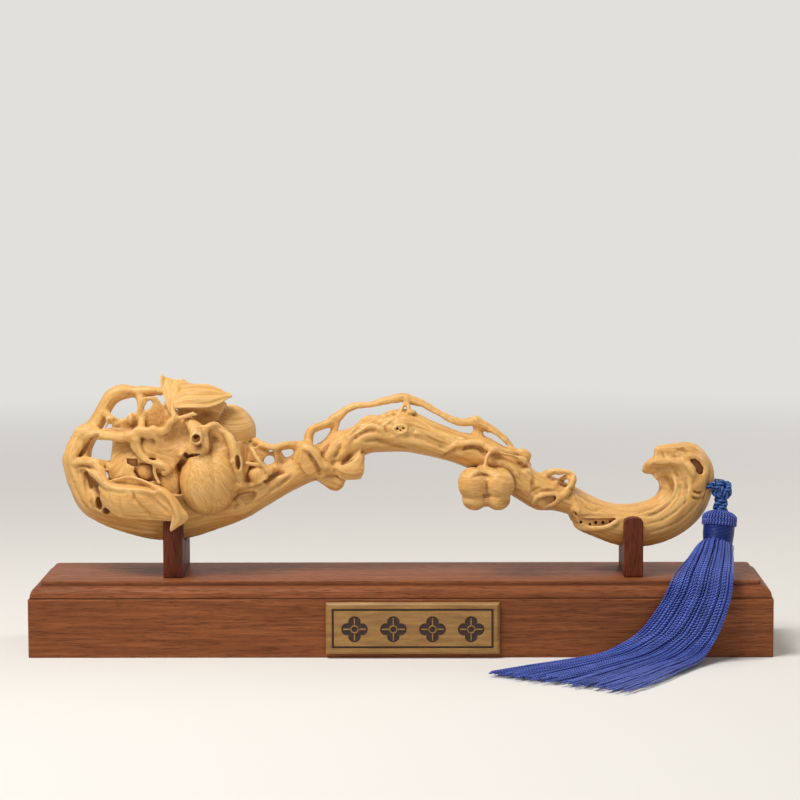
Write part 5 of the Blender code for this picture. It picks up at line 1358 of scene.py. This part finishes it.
def plate_look():
    m = Looks(bpy.data.materials.new("plate_wood_gold"))
    engraved = m.field("engraved")
    fibre = m.noise(m.place(), (60, 60, 420), 5, 0.6, 0.3)
    speck = m.noise(m.place(), (900, 900, 900), 2)
    wood = m.ramp(fibre, (0.3, shade(128, 88, 35)), (0.5, shade(150, 108, 47)), (0.72, shade(172, 130, 66)))
    wood = m.mix(m.fit(speck, 0.55, 0.75, 0.0, 0.3), wood, shade(112, 74, 34))
    wood = m.mix(m.fit(engraved, 0.2, 0.7), wood, shade(44, 18, 6))
    return m.set(Base_Color=wood, Roughness=m.fit(engraved, 0.1, 0.9, 0.34, 0.7), Coat_Weight=0.25,
                 Coat_Roughness=0.25, Normal=m.bump(m.blend(fibre, 0.5, speck, 0.5), 0.0001, 0.5))


def silk_look(name, dark, mid, light, sheen=0.05, rough=0.36):
    m = Looks(bpy.data.materials.new(name))
    twist = m.field("twist", "Vector")
    lobe = m.node("SeparateXYZ", {"Vector": twist}).outputs["Y"]
    tone = m.noise(m.place(), (160, 160, 160), 2)
    hair = m.noise(twist, (0.9, 9, 1), 3, 0.6, 0.0, 3.0)
    # Painted shade in the gaps between plies and threads, and painted highlight on their crowns, by the lobe
    silk = m.mix(m.fit(lobe, 0.2, 0.7), dark, mid)
    silk = m.mix(m.fit(lobe, 0.6, 0.98, 0.0, 0.75), silk, light)
    silk = m.mix(m.fit(hair, 0.5, 0.75, 0.0, 0.35), silk, light)
    silk = m.mix(m.fit(tone, 0.4, 0.7, 0.0, 0.3), silk, dark)
    return m.set(Base_Color=silk, Roughness=rough, Sheen_Weight=sheen, Sheen_Roughness=0.35,
                 Sheen_Tint=(0.4, 0.55, 1.0, 1.0), Specular_IOR_Level=0.22, Normal=m.bump(hair, 0.00006, 0.5))


# Stand
BASE_LENGTH, BASE_DEPTH, FACE_HEIGHT = 330.0, 65.0, 26.1
GROOVE_DEPTH, GROOVE_TOP = 0.8, FACE_HEIGHT + 0.6
OVOLO_REACH, OVOLO_TOP, TOP_INSET = 4.5, GROOVE_TOP + 5.0, 5.2
OVOLO_FOOT = TOP_INSET - OVOLO_REACH
PLATE_MIDDLE, PLATE_LENGTH, PLATE_HEIGHT, PLATE_THICK, PLATE_FOOT = 5.6, 76.8, 23.0, 2.6, 2.0
PLATE_BEVEL = 1.0
ORNAMENTS = (354.5, 393.4, 432.6, 471.2)  # where their middles show, across and down the view
ORNAMENT_ROW, ORNAMENT_SIZE, ENGRAVED = 629.5, 5.9, 0.5


def rounded_outline(length, depth, radius, steps=6):
    """A rectangle with rounded corners, as (x, y) points."""
    points = []
    for corner, (sx, sy) in enumerate(((1, 1), (-1, 1), (-1, -1), (1, -1))):
        for step in range(steps + 1):
            angle = math.pi / 2 * (corner + step / steps)
            points.append((sx * (length / 2 - radius) + radius * math.cos(angle),
                           sy * (depth / 2 - radius) + radius * math.sin(angle)))
    return points


def finish_mesh(made, mesh, sharp):
    """Writes a bmesh to a mesh, smooth but for edges sharper than some degrees."""
    made.to_mesh(mesh)
    made.free()
    mesh.shade_smooth()
    mesh.set_sharp_from_angle(angle=math.radians(sharp))


def make_plinth(look):
    # Rows of (inset, height, corner radius): foot, face, groove, ovolo and top board
    profile = [(0.5, 0.0, 1.0), (0.12, 0.1, 1.0), (0.0, 0.45, 1.0)]
    profile += [(0.0, z, 1.0) for z in np.linspace(1.5, FACE_HEIGHT - 0.5, 8)]
    profile += [(0.06, FACE_HEIGHT - 0.18, 1.0), (0.26, FACE_HEIGHT, 1.0),
                (GROOVE_DEPTH - 0.1, FACE_HEIGHT + 0.02, 1.0), (GROOVE_DEPTH, FACE_HEIGHT + 0.12, 1.0),
                (GROOVE_DEPTH, GROOVE_TOP - 0.1, 1.0), (OVOLO_FOOT, GROOVE_TOP, 1.0)]
    profile += [(OVOLO_FOOT + OVOLO_REACH * (1 - math.cos(turn)) * 0.98,
                 GROOVE_TOP + (OVOLO_TOP - GROOVE_TOP) * math.sin(turn), 1.6)
                for turn in np.linspace(0, math.pi / 2, 19)[1:]]
    profile += [(TOP_INSET - 0.04, OVOLO_TOP + 0.02, 2.0), (TOP_INSET, OVOLO_TOP + 0.15, 2.2),
                (TOP_INSET, BASE_TOP - 0.35, 2.2), (TOP_INSET + 0.1, BASE_TOP - 0.1, 2.2),
                (TOP_INSET + 0.35, BASE_TOP, 2.2)]
    made = bmesh.new()
    recess = made.verts.layers.float.new("recess")
    rings = []
    for inset, z, radius in profile:
        outline = rounded_outline(BASE_LENGTH - 2 * inset, BASE_DEPTH - 2 * inset, radius)
        rings.append([made.verts.new(Vector((x, y, z)) * MM) for x, y in outline])
        for vert in rings[-1]:
            # The recess field marks where the base wood gets painted shade: the groove, and the crease at the
            # ovolo's top
            vert[recess] = 1.0 if FACE_HEIGHT < z < GROOVE_TOP else 0.7 if abs(z - OVOLO_TOP) < 0.3 else 0.0
    for low, high in zip(rings, rings[1:]):
        for i in range(len(low)):
            made.faces.new((low[i - 1], low[i], high[i], high[i - 1]))
    made.faces.new(rings[0][::-1])
    made.faces.new(rings[-1])
    mesh = bpy.data.meshes.new("plinth_board")
    finish_mesh(made, mesh, 38)
    new_piece(mesh, look, "stand", "base_wood", "plinth")


def make_cradle(name, look):
    """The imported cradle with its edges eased."""
    made = bmesh.new()
    made.from_mesh(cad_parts["cradle_" + name].data)
    bmesh.ops.remove_doubles(made, verts=made.verts, dist=1e-6)
    bmesh.ops.dissolve_limit(made, angle_limit=math.radians(2), verts=made.verts, edges=made.edges)
    mesh = bpy.data.meshes.new("cradle_post_" + name)
    finish_mesh(made, mesh, 60)
    edge = new_piece(mesh, look, "stand", "cradle_wood", "cradle_" + name).modifiers.new("eased", "BEVEL")
    edge.width, edge.segments = 0.0004, 3
    edge.limit_method, edge.angle_limit = "ANGLE", math.radians(40)


def quatrefoil(x, z, size):
    """How far inside a four-lobed persimmon calyx with a ringed middle a place is."""
    r, a = np.hypot(x, z), np.arctan2(z, x)
    lobe = size * (0.62 + 0.38 * np.abs(np.cos(2 * a)) ** 0.7)
    petals = lobe - r
    vein = np.abs(((a + math.pi / 4) % (math.pi / 2)) - math.pi / 4) * r
    petals = np.where((r > size * 0.34) & (r < lobe * 0.86), np.minimum(petals, vein - 0.22), petals)
    ring = np.abs(r - size * 0.27) - 0.2
    return np.where(r < size * 0.34, np.minimum(petals, ring), petals)


def make_nameplate(look):
    """A chamfered plate with an engraved border and four plain calyx ornaments."""
    front = -BASE_DEPTH / 2 - 0.3
    nx, nz = ((560, 170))
    half_x, half_z = PLATE_LENGTH / 2, PLATE_HEIGHT / 2
    gx, gz = np.meshgrid(np.linspace(-half_x, half_x, nx), np.linspace(-half_z, half_z, nz), indexing="ij")
    inside = np.minimum(half_x - np.abs(gx), half_z - np.abs(gz))
    depth = np.clip((0.5 - np.abs(inside - 3.15)) / 0.18, 0, 1)
    for u in ORNAMENTS:
        x, _, z = at(u, ORNAMENT_ROW, front - PLATE_THICK)
        petals = quatrefoil(gx - (x - PLATE_MIDDLE), gz - (z - PLATE_FOOT - half_z), ORNAMENT_SIZE)
        depth = np.maximum(depth, np.clip(petals / 0.2, 0, 1))
    out = PLATE_THICK - PLATE_BEVEL + np.clip(inside, 0, PLATE_BEVEL) - ENGRAVED * depth
    points = np.stack([gx + PLATE_MIDDLE, front - out, gz + PLATE_FOOT + half_z], -1).reshape(-1, 3)
    corner = np.arange(nx * nz).reshape(nx, nz)
    rim = np.concatenate([corner[:, 0], corner[-1, 1:], corner[-2::-1, -1], corner[0, -2:0:-1]])
    back = points[rim] * (1, 0, 1) + (0, front, 0)
    foot = nx * nz + np.arange(len(rim))
    quads = [corner[:-1, :-1], corner[1:, :-1], corner[1:, 1:], corner[:-1, 1:]]
    faces = np.vstack([np.stack([q.ravel() for q in quads], -1),
                       np.stack([np.roll(rim, -1), rim, foot, np.roll(foot, -1)], -1)])
    mesh = new_mesh("nameplate_blank", np.vstack([points, back]), faces,
                    engraved=np.r_[depth.ravel(), 0.0 * foot])
    made = bmesh.new()
    made.from_mesh(mesh)
    made.verts.ensure_lookup_table()
    made.faces.new([made.verts[i] for i in foot[::-1].tolist()])
    bmesh.ops.recalc_face_normals(made, faces=made.faces)
    finish_mesh(made, mesh, 28)
    new_piece(mesh, look, "stand", "plate_wood", "nameplate")


# Tassel. It leans from its pivot, and its parts follow each other along the lean.
PIVOT = np.array([144.2, -7.4, 38.6 + BASE_TOP])
LEAN = unit(np.array([-2.4, -5.6, -26.0]))
LEAN_X = unit(np.cross(LEAN, [0.0, 1.0, 0.0]))
LEAN_Y = np.cross(LEAN, LEAN_X)
NECK_FOOT = 3.546 + 5.9
CAP_TOP, CAP_FOOT, CAP_RADIUS = NECK_FOOT + 0.3, NECK_FOOT + 6.3, 8.0
BAND_TOP, BAND_HEIGHT, BAND_RADIUS, BAND_FOOT_RADIUS = CAP_FOOT + 0.3, 9.4, 7.1, 6.6
SKIRT_TOP = BAND_TOP + BAND_HEIGHT + 0.3
# (x, y, height above the base's top)
LOOP_ROUTE = [
    (140.6, -9.0, 40.8), (139.5, -10.2, 41.0), (138.6, -10.5, 40.3), (138.0, -9.2, 39.4), (138.0, -5.0, 39.2),
    (138.0, 5.0, 39.2), (138.0, 9.2, 39.2), (139.5, 11.0, 39.5), (142.6, 8.9, 40.0), (145.0, 4.4, 40.3),
    (145.8, 0.6, 40.4), (145.4, -2.2, 40.0), (144.8, -3.8, 39.4)]
# The skirt's left edge, right edge and half thickness, from the band to the tips
SKIRT = np.array([
    (130.7, -18.0, 44.7, 148.1, -18.0, 44.7, 6.2), (128.1, -23.5, 41.9, 147.9, -23.5, 41.9, 5.4),
    (124.5, -31.0, 38.9, 147.2, -32.0, 39.0, 4.0), (120.6, -36.8, 34.6, 146.2, -38.5, 35.5, 3.2),
    (116.0, -37.2, 26.4, 145.1, -40.0, 27.5, 3.0), (107.7, -37.5, 14.5, 141.0, -42.5, 15.5, 3.2),
    (99.3, -38.8, 7.7, 136.5, -46.0, 7.5, 3.0), (87.0, -45.5, 3.4, 130.5, -56.0, 3.4, 2.4),
    (69.7, -57.0, 2.8, 120.5, -73.0, 2.6, 1.7), (55.6, -65.0, 2.4, 112.0, -88.5, 2.2, 1.3),
    (36.4, -77.0, 1.7, 99.0, -109.0, 1.7, 0.9), (22.0, -86.0, 1.5, 90.0, -124.0, 1.5, 0.8)])
STRAND_LENGTH, STRAND = 138.0, 0.48  # radius
RINGS = [(6, 0.18), (12, 0.38), (20, 0.58), (30, 0.76), (40, 0.90), (39, 0.985)]  # strands, reach
DECLARED = 39
GAP = 0.1  # kept between a strand and the base


def on_lean(down, x=0.0, y=0.0):
    """Points so far down the lean from the pivot, x and y off it."""
    down, x, y = (np.asarray(q, float)[..., None] for q in (down, x, y))
    return PIVOT + down * LEAN + x * LEAN_X + y * LEAN_Y


def rope(line, radius, pitch, plies, sides, depth):
    """A twisted cord's skin round a line of points, with each point's place on it."""
    line = np.asarray(line, float)
    ahead = unit(np.gradient(line, axis=0))
    one = carried(np.cross(ahead[0], [0.3, 0.2, 0.9]), ahead)
    two = np.cross(ahead, one)
    run = run_of(line)[:, None]
    c, s = circle(sides)
    angle = np.arange(sides) * 2 * math.pi / sides
    lobe = np.abs(np.cos((angle - run / pitch * 2 * math.pi) * plies / 2))
    r = np.asarray(radius).reshape(-1, 1) * (1 - depth + depth * lobe ** 0.8)
    points = line[:, None] + r[..., None] * (one[:, None] * c[:, None] + two[:, None] * s[:, None])
    k = np.arange(1, sides - 1)
    faces = np.concatenate([tube_faces(len(line), sides, False), np.stack([0 * k, k + 1, k], -1),
                            (len(line) - 1) * sides + np.stack([0 * k, k, k + 1], -1)])
    return points.reshape(-1, 3), faces, np.stack([run + 0 * lobe, lobe, 0 * lobe], -1).reshape(-1, 3)


def rope_piece(name, parts, look, body, slot, node):
    """One piece of several ropes."""
    points, faces, twist = zip(*parts)
    starts = np.cumsum([0, *(len(p) for p in points[:-1])])
    faces = np.vstack([f + start for f, start in zip(faces, starts)])
    return new_piece(new_mesh(name, np.vstack(points), faces, twist=np.vstack(twist)), look, body, slot, node)


def closed_tube(name, rings, look, slot, node, lobe, run):
    """A tube closed at both ends, with the lobe of its thread at each of its points."""
    points = np.vstack([rings.reshape(-1, 3), rings[0].mean(0), rings[-1].mean(0)])
    faces = tube_faces(*rings.shape[:2])
    if (point_normals(points, faces) * (points - rings.mean((0, 1)))).sum() < 0:
        faces = faces[:, ::-1]
    twist = np.stack([run[:, None] + 0 * lobe, lobe, 0 * lobe], -1).reshape(-1, 3)
    mesh = new_mesh(name, points, faces, twist=np.vstack([twist, [0, 0.5, 0], [0, 0.5, 0]]))
    new_piece(mesh, look, "tassel", slot, node)


def base_front_at(z):
    """How far forward the base reaches at a height, as Y."""
    turn = np.clip((z - GROOVE_TOP) / (OVOLO_TOP - GROOVE_TOP), 0, 1)
    inset = np.select([z < FACE_HEIGHT, z < OVOLO_TOP, z < BASE_TOP],
                      [0.0 * z, TOP_INSET - OVOLO_REACH * np.sqrt(1 - turn ** 2), TOP_INSET],
                      40.0 + BASE_DEPTH / 2)
    return inset - BASE_DEPTH / 2


def strand_lines():
    """Middle lines of the skirt's strands, from the band's foot to the tips, and how high each lies."""
    top = []
    for i in range(2):
        place, radius = on_lean(SKIRT_TOP + i * 1.3), BAND_FOOT_RADIUS + 0.7 * i
        top.append((*(place - (radius, 0, 0)), *(place + (radius, 0, 0)), BAND_FOOT_RADIUS + 0.3 * i))
    rows = through(np.vstack([top, SKIRT]))
    run = run_of((rows[:, :3] + rows[:, 3:6]) / 2)
    s = np.arange(0, run[-1], 1.0)
    t = s / run[-1]
    rows = rows_at(s, run, rows)
    middle, wide = (rows[:, :3] + rows[:, 3:6]) / 2, (rows[:, 3:6] - rows[:, :3]) / 2
    thick = np.cross(np.gradient(middle, axis=0), wide)
    thick *= (rows[:, 6] / np.linalg.norm(thick, axis=1))[:, None]
    thick *= np.where((thick @ np.array([0, -0.6, 0.8])) < 0, -1, 1)[:, None]
    die = np.random.default_rng(5)
    places = []
    for count, reach in RINGS:
        for k in range(count):
            angle = 2 * math.pi * (k + 0.5 * (count % 2)) / count + die.normal() * 0.05
            places.append((reach * math.cos(angle), reach * math.sin(angle)))
    made = []
    for a, b in places:
        wave = die.normal(size=4) * 0.05
        phase = die.uniform(0, 6.28, 2)
        aa = a + wave[0] * t + wave[1] * np.sin(5 * t + phase[0]) * t
        bb = b * (1 - 0.1 * t) + wave[3] * np.sin(7 * t + phase[1]) * t
        if a < -0.93 and b > 0:  # the left edge bows out over the base
            aa = aa - (0.10 + 0.18 * b) * np.exp(-((s - 24) / 11) ** 2)
        p = middle + wide * aa[:, None] + thick * bb[:, None]
        p[:, 2] = np.maximum(p[:, 2], STRAND + 0.05)
        # Laid over the base and smoothed, a little at a time
        for _ in range(6):
            front = base_front_at(p[:, 2]) - STRAND - GAP
            in_base = (p[:, 1] > front) & (p[:, 2] < BASE_TOP + STRAND + GAP)
            over = in_base & (p[:, 2] > BASE_TOP - 1.2)
            p[over, 2] = BASE_TOP + STRAND + 0.12
            p[in_base & ~over, 1] = front[in_base & ~over]
            p[1:-1] = p[1:-1] * 0.6 + (p[:-2] + p[2:]) * 0.2
            p[:, 2] = np.maximum(p[:, 2], STRAND + 0.05)
        gone = run_of(p)
        length = STRAND_LENGTH + np.clip(die.normal() * 2.4, -5.5, 4)
        made.append((rows_at(np.arange(0, min(length, gone[-1]), 0.33), gone, p), b))
    return made


def make_loop(look):
    path = evenly(through(raised(LOOP_ROUTE), 12), 0.35)
    loop = rope_piece("tassel_loop_cord", [rope(path, 1.0, 5.0, 3, 18, 0.16)], look, "scepter", "silk_cord",
                      "tassel_loop")
    path = path * MM


def make_knot(look):
    """A cord wound into a ball round a core, and three crossed below it."""
    turns = np.linspace(0, 6 * math.pi, 420)
    rise = 4 / 3 * turns
    slope, out, side = np.radians(56) * np.cos(rise), 3.35 + 0.6 * np.sin(2 * rise), turns + 0.5
    flat = out * np.cos(slope)
    line = on_lean(out * np.sin(slope) * 1.04 + 0.7, flat * np.cos(side), flat * np.sin(side))
    core = np.linspace(-2.4, 5.6, 14)
    fat = 2.7 * np.sqrt(np.clip(1 - ((core - 1.6) / 4.2) ** 2, 0.02, 1))
    parts = [rope(line, 1.22, 5.0, 3, 14, 0.2), rope(on_lean(core), fat, 40, 3, 14, 0.0)]
    share = np.linspace(0, 1, 26)
    for k in range(3):
        turn = 1.3 * math.pi * share + 2.1 * k
        line = on_lean(2.8 + (NECK_FOOT - 2.1) * share, (1.6 + 0.7 * share) * np.cos(turn),
                       1.3 * np.sin(turn))
        parts.append(rope(evenly(line, 0.35), 1.35, 5.0, 3, 14, 0.2))
    parts.append(rope(on_lean(np.linspace(3.0, NECK_FOOT + 0.5, 14)), 1.6, 5.0, 3, 14, 0.1))
    rope_piece("button_knot_cord", parts, look, "tassel", "silk_cord", "button_knot")


def make_cap_and_band(cap_look, band_look):
    around, cap_rows, band_rows = ((300, 96, 190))
    c, s = circle(around)
    # The cap: threads woven over a dome and down its side
    turn = np.radians(12 + 78 * np.linspace(0.1, 1, cap_rows))
    dome, side = CAP_TOP + (CAP_FOOT - CAP_TOP) * 0.62 * (1 - np.cos(turn)), cap_rows // 3
    down = np.r_[dome, np.linspace(dome[-1], CAP_FOOT + 1.0, side)[1:]]
    radius = (CAP_RADIUS - 0.35) * np.sin(turn)
    radius = np.r_[radius, np.linspace(radius[-1], CAP_RADIUS * 0.95, side)[1:]]
    run = run_of(np.column_stack([down, radius]))
    row, place = np.divmod(run / 1.05, 1.0)
    slant = np.where(row % 2, 1, -1) * (place - 0.5) * 2.8
    phi = np.arange(around) * 2 * math.pi / around
    weave = np.cos(phi * 34 + slant[:, None]) * (np.sin(math.pi * place) ** 0.6)[:, None]
    r = radius[:, None] + 0.30 * weave
    closed_tube("tassel_cap_woven", on_lean(down[:, None], r * c, r * s), cap_look, "silk_cap", "tassel_cap",
                0.5 + 0.5 * weave, run)
    # The band: fine thread wound side by side, drawn in at both edges
    t = np.linspace(0, 1, band_rows)
    down = BAND_TOP + BAND_HEIGHT * t
    wound = np.abs(np.sin(t * math.pi * 15))
    radius = BAND_RADIUS - 0.2 + (BAND_FOOT_RADIUS - BAND_RADIUS) * np.clip(t - 0.5, 0, 1) * 2
    radius = radius + 0.2 * wound ** 0.7
    r = (radius * (1 - 0.04 * np.clip(1 - t * 14, 0, 1) - 0.05 * np.clip(t * 14 - 13, 0, 1)))[:, None]
    closed_tube("tassel_band_wound", on_lean(down[:, None], r * c, r * s), band_look, "silk_band",
                "tassel_band", wound[:, None] + 0 * r * c, down)


def make_skirt(look):
    """Strands, of which the upper ones are pieces of their own, and two pieces of those among and under them.
    """
    rest = []
    for k, (line, _) in enumerate(sorted(strand_lines(), key=lambda strand: -strand[1])):
        shown = k < DECLARED
        if not shown:
            line = line[::2]
        fat = STRAND * np.clip((np.arange(len(line))[::-1] + 3) / 6, 0.5, 1)
        part = rope(line, fat, 2.8, 2, 8 if shown else 6, 0.44)
        if not shown:
            rest.append(part)
            continue
        strand = rope_piece(f"tassel_strand_{k + 1:02d}", [part], look, "tassel", "silk_strands",
                            "tassel_skirt")
    half = len(rest) // 2
    rope_piece("tassel_strands_inner", rest[:half], look, "tassel", "silk_strands", "tassel_skirt")
    rope_piece("tassel_strands_under", rest[half:], look, "tassel", "silk_strands", "tassel_skirt")


def set_stage():
    """A pale floor that rises behind the scene, and soft light. Both show as their own plain colour
    far off, so that they meet without an edge."""
    scene = bpy.context.scene
    scene.view_settings.view_transform = "Standard"
    pale = (*shade(226, 224, 220), 1)
    bend = [(1.1 + 0.5 * math.sin(a), 0.5 - 0.5 * math.cos(a)) for a in np.linspace(0.15, math.pi / 2, 14)]
    made = bmesh.new()
    profile = [(-4.0, 0.0), (1.1, 0.0), *bend, (1.6, 4.0)]
    rows = [[made.verts.new((x, y, z)) for x in (-6.0, 6.0)] for y, z in profile]
    for low, high in zip(rows, rows[1:]):
        made.faces.new((low[0], low[1], high[1], high[0]))
    mesh = bpy.data.meshes.new("floor")
    made.to_mesh(mesh)
    made.free()
    mesh.shade_smooth()
    floor = bpy.data.objects.new("floor", mesh)
    scene.collection.objects.link(floor)
    m = Looks(bpy.data.materials.new("studio_floor"))
    m.set(Base_Color=pale, Roughness=0.9, Specular_IOR_Level=0.1)
    lit = m.node("Emission", {"Color": pale}).outputs["Emission"]
    away = m.node("VectorMath", {0: m.place()}, operation="LENGTH").outputs["Value"]
    far = m.math("MULTIPLY", m.fit(away, 0.35, 1.2), m.seen_straight())
    both = m.node("MixShader", {"Fac": far, 1: m.shader.outputs["BSDF"], 2: lit}).outputs["Shader"]
    m.feed(m.tree.nodes["Material Output"].inputs["Surface"], both)
    mesh.materials.append(m.owner)

    scene.world = bpy.data.worlds.new("studio")
    m = Looks(scene.world)
    sky = m.tree.nodes["Background"]
    sky.inputs["Color"].default_value = (1.0, 0.985, 0.965, 1)
    sky.inputs["Strength"].default_value = 0.26
    view = m.node("Background", {"Color": pale}).outputs["Background"]
    both = m.node("MixShader", {"Fac": m.seen_straight(), 1: sky.outputs["Background"], 2: view})
    m.feed(m.tree.nodes["World Output"].inputs["Surface"], both.outputs["Shader"])

    for name, place, target, size, power, colour in (
            ("key", (-0.38, -0.36, 1.0), (0, 0, 0.06), (0.55, 0.4), 11.8, (1.0, 0.97, 0.93)),
            ("rim", (0.75, 0.55, 0.65), (0.03, 0, 0.08), (0.4, 0.4), 2.6, (1.0, 0.97, 0.93)),
            ("fill", (0.5, -1.2, 0.35), (0, 0, 0.05), (0.9, 0.7), 2.0, (1.0, 0.985, 0.965))):
        data = bpy.data.lights.new(name, "AREA")
        data.shape = "RECTANGLE"
        data.size, data.size_y = size
        data.energy, data.color = power, colour
        lamp = bpy.data.objects.new(name, data)
        scene.collection.objects.link(lamp)
        lamp.location = place
        lamp.rotation_mode = "QUATERNION"
        lamp.rotation_quaternion = (Vector(target) - Vector(place)).to_track_quat("-Z", "Y")


place_camera()
silk_cord = silk_look("silk_cord_blue", shade(3, 17, 54), shade(18, 54, 124), shade(86, 132, 204))
silk_cap = silk_look("silk_cap_blue", shade(6, 16, 72), shade(46, 66, 162), shade(136, 154, 234))
silk_band = silk_look("silk_band_blue", shade(3, 12, 48), shade(9, 28, 90), shade(40, 68, 156), 0.0, 0.26)
silk_strands = silk_look("silk_strands_blue", shade(3, 9, 58), shade(34, 58, 160), shade(130, 154, 238))
make_loop(silk_cord)
make_knot(silk_cord)
make_cap_and_band(silk_cap, silk_band)
make_skirt(silk_strands)

boxwood = boxwood_look()
make_plinth(board_look("base_wood_grain", shade(164, 100, 60), shade(133, 76, 43), shade(92, 48, 26),
                       ((24, 640, 640), (3, 26, 26), (170, 2600, 2600)), 0.45))
cradle_wood = board_look("cradle_wood_grain", shade(120, 60, 35), shade(94, 43, 24), shade(58, 23, 12),
                         ((170, 170, 12), (40, 40, 5), (1500, 1500, 160)), 0.5)
make_cradle("left", cradle_wood)
make_cradle("right", cradle_wood)
make_nameplate(plate_look())

shape_clay()
REPLACED = {"head_cup": ["calyx_front", "stalk_stub", "neck_knot"], "persimmon_small": ["calyx_small"]}
for name, piece in carve_pieces(boxwood).items():
    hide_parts(name, *REPLACED.get(name, []))
set_stage()
